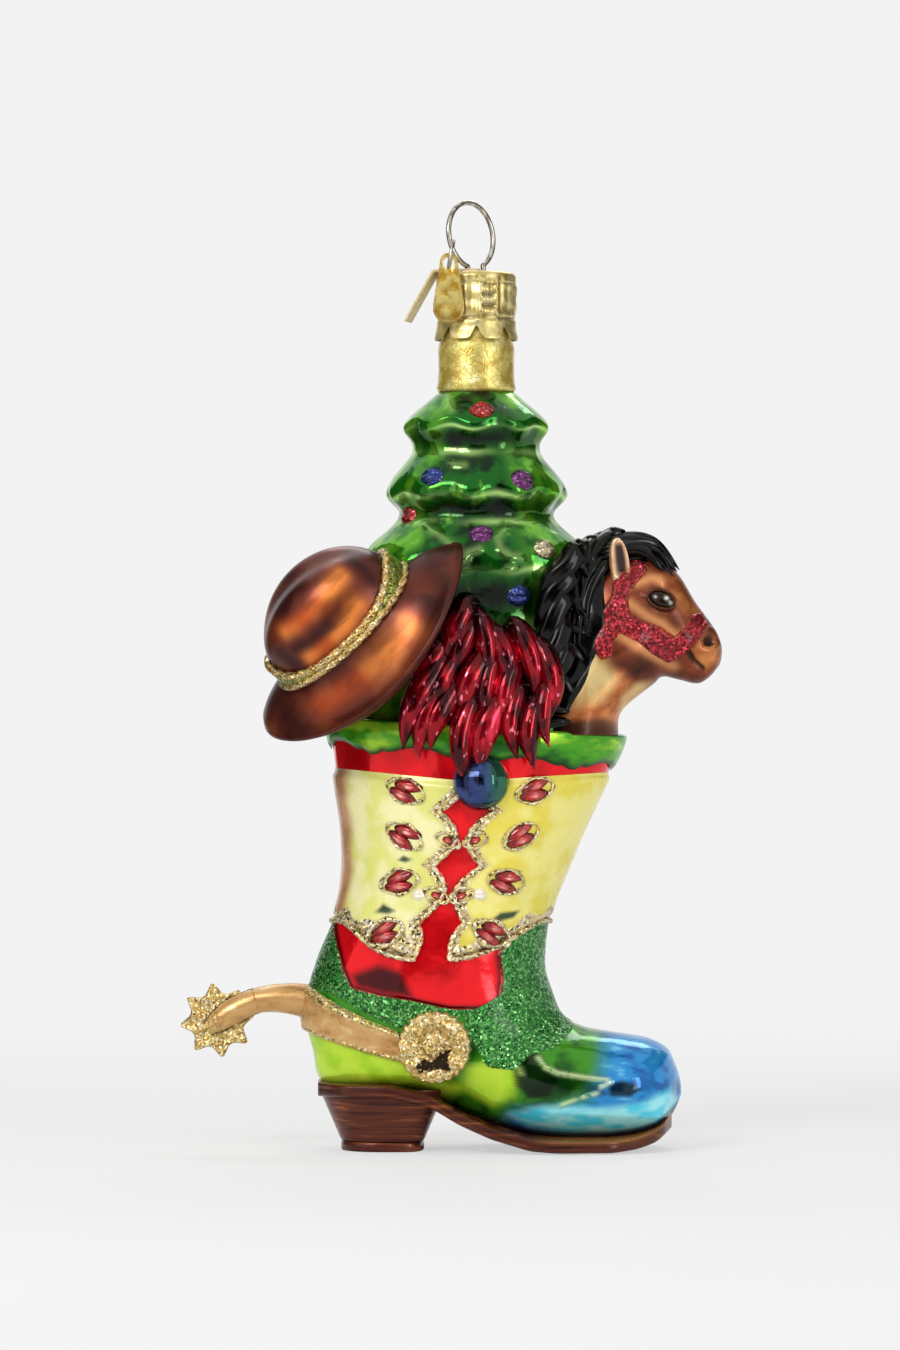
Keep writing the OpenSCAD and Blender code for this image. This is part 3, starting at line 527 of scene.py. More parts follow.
BOOT = [shaft_section(1 - i / SHAFT_STEPS) for i in range(SHAFT_STEPS + 1)] + [
    [INSTEP[0] - 3, ANKLE_Z - 9, 2 - COUNTER, ANKLE_Z - 9, 13.5],
    [INSTEP[0] - 1.8, INSTEP[1] + 4, -COUNTER, 24, 13.1],
    [INSTEP[0], INSTEP[1], 1.2 - COUNTER, 17, FOOT_D / 2 - 0.5],
    foot_section(0.17, INSTEP[1] - 2, 4 - COUNTER, FOOT_D / 2 - 0.7),
    foot_section(0.37, INSTEP[1] - 2.8, 5, FOOT_D / 2 - 0.8),
    foot_section(0.57, INSTEP[1] - 3.4, 16, FOOT_D / 2 - 0.3),
    foot_section(0.76, INSTEP[1] - 4.2, 27, FOOT_D / 2),
    foot_section(0.9, INSTEP[1] - 5.8, TOE - 12.5, FOOT_D / 2 - 1.4),
    foot_section(0.97, INSTEP[1] - 8.6, TOE - 5, FOOT_D / 2 - 5),
    [TOE, INSTEP[1] - 10.4, TOE - 1.2, under_sole(TOE - 1.2) + SOLE_T - 0.5, 3]]
BOOT_END = len(BOOT) - 1.0


def loft_point(sections, s, a, grow):
    """Point on a loft at a place along it and an angle round it, pushed out by grow."""
    s, a, grow = np.broadcast_arrays(*(np.asarray(v, float) for v in (s, a, grow)))
    q = spline(sections, np.clip(s, 0, len(sections) - 1))
    half = np.stack([q[..., 0] - q[..., 2], q[..., 1] - q[..., 3]], -1) / 2
    reach = half * (1 + grow / np.linalg.norm(half, axis=-1))[..., None] * cosd(a)[..., None]
    x = (q[..., 0] + q[..., 2]) / 2 + reach[..., 0]
    z = (q[..., 1] + q[..., 3]) / 2 + reach[..., 1]
    return np.stack([x, (q[..., 4] + grow) * sind(a), z], -1)


def boot_point(s, a, grow=0.0):
    """Point on the boot: angle 0 is the front, -90 the viewer's side."""
    return loft_point(BOOT, s, a, grow)


def collar_edge(a):
    """Place of the collar's lower edge, with its leaf tips."""
    wide = COLLAR_W + 0.7 * cosd(a) + 0.3 * cosd(LEAF_TIPS * a)
    return SHAFT_STEPS * wide / (BOOT_H - ANKLE_Z)


def shaft_edge(a):
    """Place of the wavy seam at the ankle."""
    return SEAM_AT + SEAM_WAVE * sind(a) ** 2


def grid(rows, cols, wrap=True):
    """Share down and angle round for a skin, or share across from -1 to 1 for one that isn't wrapped."""
    a = np.arange(cols) * 360.0 / cols if wrap else np.linspace(-1, 1, cols)
    return np.meshgrid(np.linspace(0, 1, rows), a, indexing="ij")


print("boot sections:", len(BOOT))

# %% [markdown]
# The shaft is the red bubble wall between the collar and the wavy ankle seam. Below a painted line it is
# dusted with green glitter. Two wine coloured patches of painted shade darken its foot, and a band of painted
# shade runs just inside the red's border. The patches could be pieces of their own; they are masks.

# %% Shaft
RED_PATCH = [(331, 900), (335, 930), (343, 965), (352, 985), (380, 992), (408, 996), (450, 1005), (490, 1006),
             (501, 1000), (503, 975), (500, 950), (515, 925), (560, 905), (640, 860), (640, 700), (300, 700),
             (300, 880)]
WINE_SHADE = [(352, 972), (378, 962), (402, 968), (414, 994), (384, 990), (358, 984)]
WINE_SHADE_STRIP = [(494, 952), (502, 948), (506, 975), (504, 1000), (494, 1002), (497, 975)]


def red_glass(t):
    pool = t.noise(7, 3.0).step(0.42, 0.7)
    colour = pool.mix(rgb("f8141e"), rgb("d00a14"))
    # Painted shade: wine patches near the ankle seam and a dark band along the red's border.
    colour = t.mask("deep").mix(colour, rgb("30030a"))
    return sprinkled(t, "glitter").over(lacquer(t, colour, rough=0.08, metal=0.4), green_dust(t))


v, a = grid(130, 288)
s = blend(collar_edge(a) - 0.1, shaft_edge(a) + 0.04, v)
base = boot_point(s, a)
red = outline_distance(base, RED_PATCH)
dusted = ease(-red, -0.3, 0.3)
# Painted shade: two wine patches and a dark band just inside the red's border.
painted_shade = [0.95 * spot(base, WINE_SHADE, 0.9), bell(red, 0.3, 0.4), 0.75 * spot(base, WINE_SHADE_STRIP, 0.5)]
shaft = Clay()
shaft.skin(boot_point(s, a, 0.2 * dusted), start=False, end=False, glitter=dusted, deep=np.max(painted_shade, axis=0))
shaft.piece("shaft_skin", finish("shaft_red_glass", red_glass), ["boot_shaft"], "shaft_red", sheet=True)

# %% [markdown]
# The foot runs from the ankle seam to the toe: green glitter on the ankle, lime on the counter, and a blue
# wash over the toe. The stitched lines of the vamp are low ridges in the mould. A bump in the paint would
# vanish in profile, so the skin itself rises there and carries a painted highlight in pale lime. A dark swirl
# and a black mark on the vamp are painted reflections, and painted shade darkens the foot along the welt.

# %% Foot
GLITTER_PATCHES = [
    [(486, 1062), (476, 1042), (466, 1026), (462, 1000), (503, 990), (500, 956), (516, 936), (560, 930),
     (566, 1000), (572, 1024), (556, 1043), (530, 1050), (512, 1066)],
    [(300, 930), (330, 940), (342, 972), (362, 990), (392, 1004), (412, 1008), (404, 1026), (372, 1012),
     (330, 990), (300, 985)]]
LIME_PATCHES = [
    [(300, 1000), (336, 1022), (400, 1056), (440, 1076), (470, 1082), (440, 1100), (300, 1100)],
    [(468, 1062), (512, 1050), (520, 1068), (512, 1092), (492, 1102), (462, 1084)]]
TOE_PATCH = [(604, 1020), (700, 1020), (700, 1160), (480, 1160), (512, 1110), (556, 1106), (586, 1094),
             (600, 1066)]
CYAN_PATCH = [(508, 1110), (540, 1102), (572, 1101), (606, 1103), (640, 1098), (668, 1086), (676, 1100),
              (672, 1114), (652, 1124), (606, 1130), (560, 1129), (526, 1122)]
DARK_REFLECTIONS = [[(511, 1060), (524, 1046), (538, 1048), (548, 1062), (558, 1074), (548, 1092), (530, 1094),
                 (516, 1082)],
                [(606, 1079), (618, 1076), (634, 1079), (638, 1085), (628, 1092), (608, 1091)]]
OLIVE_REFLECTION = [(546, 1070), (580, 1076), (606, 1080), (604, 1090), (576, 1090), (550, 1088)]
VAMP_LINES = [[(537, 1053), (543, 1062), (556, 1068), (580, 1072), (606, 1075)],
              [(608, 1077), (599, 1082)], [(595, 1088), (581, 1092)], [(574, 1094), (560, 1100)],
              [(519, 1063), (521, 1069)]]
TOE_TIP = np.array([TOE + 0.35, 0, 9.4])
CLOSING = (0.4, 0.75, 0.97)
TAIL = [(0, len(CLOSING)), (0, 0)]


def foot_colours(t):
    drift = t.noise(5, 3.0)
    green = drift.step(0.36, 0.56).mix(rgb("12500f"), rgb("3f901c"))
    green = t.mask("lime").mix(green, drift.step(0.3, 0.6).mix(rgb("9cd018"), rgb("c4e83c")))
    wash = t.noise(3.2, 4.0, stretch=(0.6, 1, 1.6))
    blue = wash.shades((0.34, 0.54), (0.56, 0.74), rgb("1262aa"), rgb("2c90d4"), rgb("70c8f0"))
    colour = t.mask("toe").mix(green, blue)
    colour = t.mask("cyan").mix(colour, wash.step(0.36, 0.6).mix(rgb("4ce0fc"), rgb("a8f8ff")))
    # Painted dark reflections on the vamp and painted shade along the welt.
    colour = t.mask("deep").mix(colour, rgb("030d06"))
    broken = t.noise(1.4, 2.0).step(0.28, 0.44)
    # Painted highlight in pale lime along the ridged lines.
    colour = (t.mask("line") * broken).mix(colour, rgb("e4f8b8"))
    return sprinkled(t, "glitter").over(lacquer(t, colour, rough=0.07, metal=0.3), green_dust(t))


v, a = grid(150, 192)
s = blend(shaft_edge(a), BOOT_END, v)
base = boot_point(s, a)
dust = spots(base, GLITTER_PATCHES, 0.5)
lines = strokes(base, VAMP_LINES, 0.36)
ridge = lines * ease(base[..., 0], 20, 26)
above_sole = base[..., 2] - under_sole(base[..., 0]) - SOLE_T
# Painted shade along the welt, just above the sole.
welt_shade = 0.9 * (1 - ease(above_sole, 0.5, 1.5)) * ease(base[..., 0], 14, 20)
deep = np.maximum(spots(base, DARK_REFLECTIONS, 0.45), 0.6 * spot(base, OLIVE_REFLECTION, 0.8))
deep = np.maximum(deep * (1 - lines), welt_shade)
masks = {"glitter": dust, "deep": 0.92 * deep, "line": 0.7 * ridge, "lime": spots(base, LIME_PATCHES, 1.2)}
masks = {k: np.pad(m, TAIL, "edge") for k, m in masks.items()}
rings = boot_point(s, a, 0.22 * dust + 0.3 * ridge)
closing = [blend(rings[-1], TOE_TIP, t) + [0.25 * (1 - t), 0, 0] for t in CLOSING]
foot = Clay()
foot.skin(np.concatenate([rings, closing]), start=False, cyan=np.pad(spot(base, CYAN_PATCH, 1.0), TAIL),
          toe=np.pad(spot(base, TOE_PATCH, 2.5), TAIL, constant_values=1), **masks)
foot.piece("foot_skin", finish("foot_lacquer", foot_colours), ["boot_foot"], "foot_green", sheet=True)

# %% [markdown]
# The collar is a thick rolled rim with a row of leaf tips along its lower edge. A few soft ribs run down
# each leaf, so the lacquer catches light on them. A tube round the mouth would lack the tips, so the rim is
# a skin that starts inside the boot, rolls over its edge and ends at the leaves.

# %% Collar
INNER_ROWS = [19, 13, 0]


def collar_green(t):
    vein = t.noise(6, 3.0, stretch=(0.6, 0.6, 1.6))
    colour = vein.shades((0.36, 0.5), (0.54, 0.68), rgb("1e6a14"), rgb("4aa41c"), rgb("a8dc30"))
    # Painted shade along the leaves' lower edge, where the collar meets the shaft.
    return lacquer(t, t.mask("edge").mix(colour, rgb("0c3008")), rough=0.2, metal=0.35)


v, a = grid(26, 256)
around = a[0]
ribs = cosd(2 * LEAF_TIPS * a)
leaf = 0.5 + 0.5 * cosd(LEAF_TIPS * a)
low = collar_edge(a) + 0.02 + 0.05 * np.abs(ribs) * leaf
swell = 0.6 + 0.35 * sind(180 * v) * (0.85 + 0.15 * ribs) - 0.35 * ease(v, 0.85, 1)
outer = boot_point(low * v, a, swell)
inner = boot_point(low * v, a, -1.2)[INNER_ROWS]
inner[2] = boot_point(0, around, -0.7)
rim = boot_point(0, around, 0.1) + [0, 0, 0.35]
collar = Clay()
# Painted shade along the lower edge of the leaves.
collar.skin(np.concatenate([inner, [rim], outer]), start=False, end=False,
            edge=np.pad(ease(v, 0.78, 1.0), [(4, 0), (0, 0)]))
collar.piece("collar_leaves", finish("collar_lacquer", collar_green), ["boot_collar"], "collar_green")

# %% [markdown]
# Two pearly yellow panels cover the shaft. Their side edges swing in scallops that almost meet over the red
# stripe, and a rope of gold glitter is laid along the sides and the lower edge. A raised pad with rolled
# sides reads better than a flat patch of colour. The brown wash down the back is only paint, and the small
# dark marks above the rosettes are painted shade.

# %% Panels and their gold cords
PANEL_FROM = 0.72
PANEL_TO = 4.2
PANEL_HALF = 87.0
PANEL_MM = (24, 27)
PANEL_SCALLOP = 9.5
SCALLOPS = 3
PANEL_LIFT = 0.72
PANEL_SEAT = 0.05
TIP_BLUNT = 6.0
CORD_STEPS = 240
# Small dark marks above the rosettes: painted shade.
ROSETTE_SHADES = [[(376, 910), (384, 901), (396, 908), (389, 911)],
          [(492, 916), (500, 910), (519, 908), (513, 915), (500, 918)],
          [(497, 871), (505, 866), (521, 869), (513, 873)],
          [(398, 858), (404, 853), (413, 857), (406, 860)]]


def pearl_yellow(t):
    cloud = t.noise(6, 3.0)
    pale = cloud.step(0.38, 0.6).mix(rgb("e6e67c"), rgb("faf4b4"))
    warm = cloud.step(0.38, 0.6).mix(rgb("ecdc4c"), rgb("f8ee88"))
    colour = (t.mask("rim") * 0.5).mix(t.mask("warm").mix(pale, warm), rgb("a8862c"))
    colour = t.mask("spine").mix(colour, cloud.step(0.35, 0.65).mix(rgb("a05a48"), rgb("c88c6c")))
    # Painted shade above the rosettes.
    colour = t.mask("leaf").mix(colour, rgb("223a18"))
    grain = t.noise(0.5, 2.0)
    pearl = t.coat(colour, Metallic=0.05, Roughness=0.2 + 0.12 * grain, Coat_Weight=0.3, Coat_Roughness=0.06,
                   Normal=t.bump(t.noise(5, 2.0) + 0.05 * grain, 0.3, 0.9))
    return sprinkled(t, "dust").over(pearl, lace_dust(t))


def panel_edge(f):
    """Half width of a panel, as an angle, at a share of its height."""
    blunt = TIP_BLUNT * ease(f, 0.86, 1.0)
    return PANEL_HALF - PANEL_SCALLOP * (1 - np.abs(cosd(180 * SCALLOPS * f))) - blunt


def panel_place(f, u, middle):
    """Place along the boot and angle of a spot on a panel: f runs down, u from edge to edge."""
    top = PANEL_FROM + 0.15 * u * u
    low = PANEL_TO + 0.86 * u * u - 0.14 * u ** 10
    return blend(top, low, f), middle + panel_edge(f) * u


def cord(s, a, radius):
    """A rope of glitter along a line on the boot."""
    cords.skin(tube_rings(boot_point(s, a, 0.45), radius, 9, 3, 3.4))


pearl = finish("pearl_yellow_paint", pearl_yellow)
cords = Clay()
t = np.linspace(0, 1, CORD_STEPS)
for name, middle_angle in (("front_panel", 0.0), ("back_panel", 180.0)):
    f, u = grid(97, 121, wrap=False)
    s, a = panel_place(f, u, middle_angle)
    front = float(name == "front_panel")
    laced = np.minimum((1 - f) * PANEL_MM[0], (1 - np.abs(u)) * PANEL_MM[1])
    inset = np.minimum(laced, f * PANEL_MM[0])
    grains = laced - 0.8 * sind(900 * f) * sind(1300 * u)
    wash = 0.85 * (1 - ease(np.abs(u) * PANEL_HALF, 21, 33))
    rows = boot_point(s, a, blend(PANEL_SEAT, PANEL_LIFT, ease(inset, 0, 0.9)))
    panel = Clay()
    panel.skin(rows, wrap=False, leaf=spots(rows, ROSETTE_SHADES, 0.3), rim=1 - ease(laced, 0.3, 2.4), warm=front,
               spine=wash * (1 - front), dust=1 - ease(grains, 0.3, 2.2 + 1.6 * ease(f, 0.85, 1)))
    panel.piece(name + "_pad", pearl, [name], "panel_yellow", sheet=True)
    for side in (-1.0, 1.0):
        s, a = panel_place(t, np.full(CORD_STEPS, side), middle_angle)
        cord(s, a, 0.46)
    s, a = panel_place(np.ones(CORD_STEPS), 2 * t - 1, middle_angle)
    cord(s + 0.05 * cosd(6 * a), a, 0.42)
print("panel cord points:", cords.size)

# %% [markdown]
# Along the stripe sit rosettes: two red enamel petals inside an oval of gold glue, squeezed out by hand.
# Small leaves of the same kind, and pearls, mark the places where the scallops come closest. One stamped
# shape would do for all of them, but each loop is lumpy in its own way, as glue from a nozzle is.

# %% Rosettes
TURNED = [18, 28, -12, -24]
RING_FAT = [0.22, 0.2, 0.24, 0.42]
ROSETTE_ROWS = (1.05, 4.42)
ROSETTE_OUT = 28
MEETING = [2.27, 3.64]
MEETING_OUT = 6.4
MEETING_TURN = 24
PEARL_AT = 3.62
PEARL_OUT = 16
PETAL_RINGS = np.linspace(1, 0.02, 9)


def rosette_paint(t):
    enamel = t.noise(0.9, 2.0).step(0.35, 0.65).mix(rgb("880c12"), rgb("c81c22"))
    # Painted highlight in pale pink along each petal's middle, then painted shade at its border.
    enamel = t.mask("blush").mix(enamel, rgb("f09a8c"))
    enamel = t.mask("shade").mix(enamel, rgb("42140c"))
    shine = t.coat(enamel, Metallic=0.2, Roughness=0.16, Coat_Weight=0.5, Coat_Roughness=0.05,
                   Normal=t.bump(t.noise(0.7, 2.0), 0.25, 0.15))
    pearl = t.coat(t.noise(0.8).mix(rgb("f6ead0"), rgb("fff8e8")), Metallic=0.1, Roughness=0.2,
                   Coat_Weight=0.8)
    return t.mask("pearl").over(t.mask("gold").over(shine, lace_dust(t)), pearl)


def shaft_square(s, a, lift):
    """Place on the shaft with its two directions along the glass and the one off it."""
    at = boot_point(s, a, lift)
    across = boot_point(s, a + 1, lift) - boot_point(s, a - 1, lift)
    down = boot_point(s + 0.05, a, lift) - boot_point(s - 0.05, a, lift)
    off = unit(np.cross(down, across))
    across = unit(across)
    return at, across, np.cross(off, across), off


def laid_flat(x, y, turned, across, up):
    """A flat drawing, turned and laid along the glass."""
    x, y = swung(x, y, turned)
    return np.outer(x, across) + np.outer(y, up)


def petal_rings(at, across, up, off, wide, tall, high, turned, sides=40):
    """A low petal with a soft fold along its middle."""
    angle = np.arange(sides) * 360.0 / sides
    made = []
    for k in PETAL_RINGS:
        x = wide * k * cosd(angle) * (1 - 0.25 * np.abs(sind(angle)) ** 3)
        y = tall * k * sind(angle)
        z = high * (1 - k ** 2.2) - 0.35 * high * bell(y, 0, 0.22 * tall) * (1 - k ** 4) + 0.02
        made.append(at + laid_flat(x, y, turned, across, up) + np.outer(z, off))
    return np.array(made)


def lumpy_loop(at, across, up, off, wide, tall, turned, fat):
    """A loop of glitter glue squeezed out by hand: thick and thin along its way."""
    loop = np.arange(74) * 5.0
    x = wide * cosd(loop) + 0.1 * wide * cosd(3 * loop)
    ring = at + laid_flat(x, tall * sind(loop), turned, across, up) + 0.2 * off
    rosettes.skin(tube_rings(ring, fat * (1 + 0.4 * sind(4 * loop + 9 * turned)), 8, 3, 4.0), gold=1.0)


def petal(at, across, up, off, wide, tall, turned):
    """One red petal, with painted shade at its border and a painted highlight along its middle."""
    k = PETAL_RINGS[:, None]
    rings = petal_rings(at, across, up, off, wide, tall, 0.8, turned)
    rosettes.skin(rings, start=False, shade=0.9 * bell(k, 1, 0.28), blush=0.7 * bell(k, 0.1, 0.2))


rosettes = Clay()
for side in (-1, 1):
    for end in (-1, 1):
        for i in range(4):
            place = blend(*ROSETTE_ROWS, i / 3)
            at, across, up, off = shaft_square(place, side * (90 + end * ROSETTE_OUT), PANEL_LIFT - 0.05)
            turned = TURNED[i] * end * side
            for half in (-1, 1):
                slip = half * 0.82 * (cosd(turned) * up - sind(turned) * across) + 0.3 * half * across
                petal(at + slip, across, up, off, 2.6, 1.12, turned + 9 * half)
            lumpy_loop(at, across, up, off, 3.15, 2.15, turned, RING_FAT[i])
        for place in MEETING:
            at, across, up, off = shaft_square(place, side * (90 + end * MEETING_OUT), PANEL_LIFT - 0.2)
            turned = MEETING_TURN * end * side
            petal(at, across, up, off, 1.15, 0.7, turned)
            lumpy_loop(at, across, up, off, 1.9, 1.25, turned, 0.3)
        at, across, up, off = shaft_square(PEARL_AT, side * (90 + end * PEARL_OUT), PANEL_LIFT)
        rosettes.skin(petal_rings(at, across, up, off, 1.15, 1.05, 0.7, 0), start=False, pearl=1.0)
rosettes.piece("rosettes", finish("rosette_enamel", rosette_paint), ["panel_rosettes"], "rosette_red")
cords.piece("panel_cords", finish("lace_glitter", lace_dust), [], "spur_gold")

# %% [markdown]
# The sole is painted as leather, with a welt and a groove above its edge; painted shade darkens the groove. A
# flat plate with a bevel would not bend; a rounded bar that is swept along the arch does, and the groove
# follows it.

# %% Sole
SOLE_HALF = np.array([[2.2 - COUNTER, 4], [3.4 - COUNTER, 7], [6.6 - COUNTER, FOOT_D / 2 - 2.6],
                      [0, FOOT_D / 2 - 1.4], [10, FOOT_D / 2 - 2.6], [18, FOOT_D / 2 - 1],
                      [30, FOOT_D / 2 + 0.8], [38, FOOT_D / 2 - 0.4], [TOE - 5, FOOT_D / 2 - 3.8],
                      [TOE - 2.4, 5.6], [TOE - 1.4, 2.6]])
SOLE_SIDES = 72


def brown_edge(t):
    grain = t.noise(1.6, 4.0, stretch=(0.1, 0.3, 2))
    colour = grain.shades((0.32, 0.5), (0.53, 0.72), rgb("341210"), rgb("602c1c"), rgb("a05a32"))
    # Painted shade in the sole's groove and on the heel's steps and lift.
    colour = t.mask("groove").mix(colour, rgb("160608"))
    colour = t.mask("gilt").mix(colour, rgb("b0702e"))
    return t.coat(colour, Metallic=0.3, Roughness=0.2 + 0.14 * grain, Specular_IOR_Level=0.25,
                  Coat_Weight=0.2, Coat_Roughness=0.1, Normal=t.bump(grain, 0.15, 0.15))


def smooth_table(table, x, width=1.2):
    """Value of a table at x with its corners rounded."""
    spread = np.linspace(-width, width, 9)
    return np.mean([np.interp(x + d, table[:, 0], table[:, 1]) for d in spread], axis=0)


x, a = grid(140, SOLE_SIDES)
x = blend(2.2 - COUNTER, TOE - 1.3, x)
end_round = np.sqrt(np.clip(1 - ease(x, TOE - 3.2, TOE - 1.2) ** 2, 0.02, 1))
half = smooth_table(SOLE_HALF, x, 1.0) * end_round
edge = boxy(cosd(a), 0.42)
lift = boxy(sind(a), 0.4)
groove = bell(lift, 0.2, 0.18) * ease(np.abs(edge), 0.9, 0.99)
y = (half - 0.28 * groove) * edge
z = smooth_table(ARCH, x, 0.8) + SOLE_T / 2 * (1 + lift)
sole = Clay()
sole.skin(np.stack([x, y, z], -1), groove=groove, gilt=0.8 * bell(lift, 0.85, 0.4) * ease(x, 22, 30))
leather = finish("stacked_brown", brown_edge)
sole.piece("sole_edge", leather, ["boot_sole"], "sole_brown")

# %% [markdown]
# The heel block flares upward in thin lifts, each a shallow step darkened with painted shade, and it stands
# on one lift of its own, with painted shade at its top and foot. Stacked plates would leave hard joints, so
# the steps are cut into one smooth wall.

# %% Heel
HEEL_LAYERS = 7
HEEL_SIDES = 96
HEEL_X = -0.9
HEEL_FOOT = 1.8
LIFT = [(0.93, 0.0), (0.985, 0.06), (1.0, 0.3), (1.0, 1.35), (0.985, 1.62), (0.95, 1.7)]
LIFT_SHADE = np.array([0.5, 0.2, 0, 0, 0.5, 0.9])
f, a = grid(90, HEEL_SIDES)
c = cosd(a)
cut = ease(np.abs(((f * HEEL_LAYERS) % 1.0) - 0.5) * 2, 0.78, 1.0)
x = (7.1 + 3.8 * f - 0.06 * cut) * np.where(c > 0, np.abs(c) ** 0.35, c)
y = (7.5 + 2.6 * f - 0.06 * cut) * boxy(sind(a), 0.8)
rings = np.stack([x + HEEL_X, y, blend(HEEL_FOOT, HEEL_H + 1.4, f)], -1)
heel = Clay()
# Painted shade in each step of the heel.
heel.skin(rings, groove=0.35 * cut)
heel.piece("heel_stack", leather, ["boot_heel"], "heel_brown", crease=60)
rows = [np.column_stack([x[0] * k + HEEL_X, y[0] * k, np.full(HEEL_SIDES, h)]) for k, h in LIFT]
lift = Clay()
# Painted shade at the lift's top and foot.
lift.skin(rows, groove=LIFT_SHADE[:, None])
lift.piece("heel_lift_layer", leather, ["heel_lift"], "heel_brown")

# %% [markdown]
# The spur is glass too, dusted with gold. Its strap hugs the counter, and two conchos cover the strap's
# ends. A strap cut from sheet would stand off the round heel, so it is a patch of the boot's own surface,
# raised.

# %% Spur strap and conchos
STRAP_END = 112.0
STRAP_ROWS = (6.02, 7.06)
STRAP_HALF = 6.4 / 12
CONCHO_HOLLOW = [(414, 1061), (424, 1052), (432, 1055), (440, 1046), (453, 1042), (449, 1056), (453, 1068),
                 (441, 1065), (430, 1066), (420, 1069)]
CONCHO_AT = (7.35, 93.0)
CONCHO_R = 6.3
CONCHO_PETALS = 4


def spur_gold(t):
    smooth = satin(t, rgb("a8763e"), rgb("d2a468"), rgb("ecd09c"), (0.3, 1, 1), 2.2, 0.35, 0.24)
    dark = t.coat(t.noise(0.6).mix(rgb("120a04"), rgb("34240e")), Roughness=0.6, Specular_IOR_Level=0.1)
    # The dark grains are painted shade in the concho's hollow.
    return sprinkled(t, "soot").over(t.mask("dust").over(smooth, gold_dust(t)), dark)


def strap_place(a):
    """Place along the boot of the strap's middle line."""
    return blend(*STRAP_ROWS, (np.abs(180 - a) / (180 - STRAP_END)) ** 2)


gold_paint = finish("spur_gold_paint", spur_gold)
u, t = grid(33, 121, wrap=False)
u = 2 * u - 1
a = 180 + (180 - STRAP_END + 6) * t
wave = 0.9 * (1 - np.abs(u) ** 6) + 0.25 * bell(np.abs(u), 0.82, 0.12)
strap = Clay()
strap.skin(boot_point(strap_place(a) + STRAP_HALF * u, a, 0.06 + wave), wrap=False,
           dust=ease(np.abs(u), 0.55, 0.72))
strap.piece("spur_strap_band", gold_paint, ["spur_strap"], "spur_gold", sheet=True)

r, angle = grid(40, 96)
r = blend(0.02, 1.0, r)
scallop = np.abs(cosd(CONCHO_PETALS * angle + 15))
high = 1.05 + 0.55 * bell(r, 0.72, 0.22) * (0.5 + 0.5 * scallop) + 0.7 * bell(r, 0, 0.2)
high = high - 0.35 * bell(r, 0.36, 0.09) - 2.6 * ease(r, 0.93, 1.0)
wide = CONCHO_R * r * (1 + 0.035 * cosd(24 * angle) * ease(r, 0.8, 1))
conchos = Clay()
for side in (-1, 1):
    at, across, up, off = shaft_square(CONCHO_AT[0], side * CONCHO_AT[1], 0.4)
    rings = at + (wide * cosd(angle))[..., None] * across + (wide * sind(angle))[..., None] * up
    # Painted shade in the hollow of each concho.
    conchos.skin(rings + high[..., None] * off, dust=1.0, soot=0.72 * spot(rings, CONCHO_HOLLOW, 0.8))
conchos.piece("concho_rosettes", gold_paint, ["conchos"], "spur_gold")

# %% [markdown]
# The shank is a bent arm that forks into two cheeks round the rowel. A swept tube would stay round, so
# the arm is lofted from a few sections, each with a height and a half width of its own.

# %% Shank
FORK_GAP = 0.82
SHANK_ROWS = 60
ROWEL = np.array([-COUNTER - 15.0, 21.9])
SHANK = [[2 - COUNTER, 24.8, 3.1, 3.2], [-COUNTER - 3, 25.6, 2.6, 2.8], [-COUNTER - 8, 25.3, 2.2, 2.4],
         [-COUNTER - 12, 23.6, 2.2, 2.2], [ROWEL[0] + 0.4, ROWEL[1], 2.0, 2.1],
         [ROWEL[0] - 1.8, ROWEL[1] - 1.6, 1.2, 1.9]]


def shank_rings(low, high, rows, angles):
    """Rings of the shank over a range of angles, 0 being its upper edge."""
    s, a = np.meshgrid(np.linspace(low, high, rows), angles, indexing="ij")
    q = spline(SHANK, s)
    ahead = spline(SHANK, np.minimum(s + 0.1, 5.0)) - spline(SHANK, s - 0.1)
    up = np.stack([-ahead[..., 1], ahead[..., 0]], -1)
    up = up / np.linalg.norm(up, axis=-1)[..., None]
    rise = q[..., 2] * cosd(a)
    return np.stack([q[..., 0] + rise * up[..., 0], q[..., 3] * sind(a), q[..., 1] + rise * up[..., 1]], -1)


along = np.linspace(0, 1, SHANK_ROWS)[:, None]
shank = Clay()
shank.skin(shank_rings(0.15, 2.12, SHANK_ROWS, np.arange(48) * 7.5), dust=bell(along, 0, 0.12))
for side in (-1, 1):
    cheek = shank_rings(2.08, 4.9, SHANK_ROWS, side * np.linspace(0, 180, 25))
    cheek[..., 1] = side * np.maximum(side * cheek[..., 1], FORK_GAP)
    flat = cheek[:, -2:0:-1].copy()
    flat[..., 1] = side * FORK_GAP
    shank.skin(np.concatenate([cheek, flat], axis=1), dust=0.75 * ease(along, 0.55, 0.9))
shank.piece("spur_shank_arm", gold_paint, ["spur_shank"], "spur_gold")

# %% [markdown]
# The rowel is an eight pointed star, with a pin of two flat heads through its hub. It could be cut from
# sheet, but on the real ornament it is part of the glass, so its points are rounded off, its faces swell
# towards the hub and it doesn't turn.

# %% Rowel and pin
POINTS = 8
FIRST_POINT = 98
ROWEL_OUT = 6.7
ROWEL_IN = 4.4
ROWEL_ROWS = [(0.12, -0.5), (0.5, -0.75), (0.72, -0.62), (0.93, -1.0), (1.0, -0.35), (1.0, 0.35), (0.93, 1.0),
              (0.72, 0.62), (0.5, 0.75), (0.12, 0.5)]
PIN = [(0.1, -2.75), (0.6, -2.7), (0.95, -2.45), (0.95, -2.15), (0.88, -2.1), (0.88, 2.1), (0.95, 2.15),
       (0.95, 2.45), (0.6, 2.7), (0.1, 2.75)]
count = np.arange(2 * POINTS)
angle = FIRST_POINT + count * 180.0 / POINTS
radius = np.where(count % 2 == 0, ROWEL_OUT, ROWEL_IN)
star = np.column_stack([radius * cosd(angle), radius * sind(angle)])
ahead = np.roll(star, -1, axis=0)
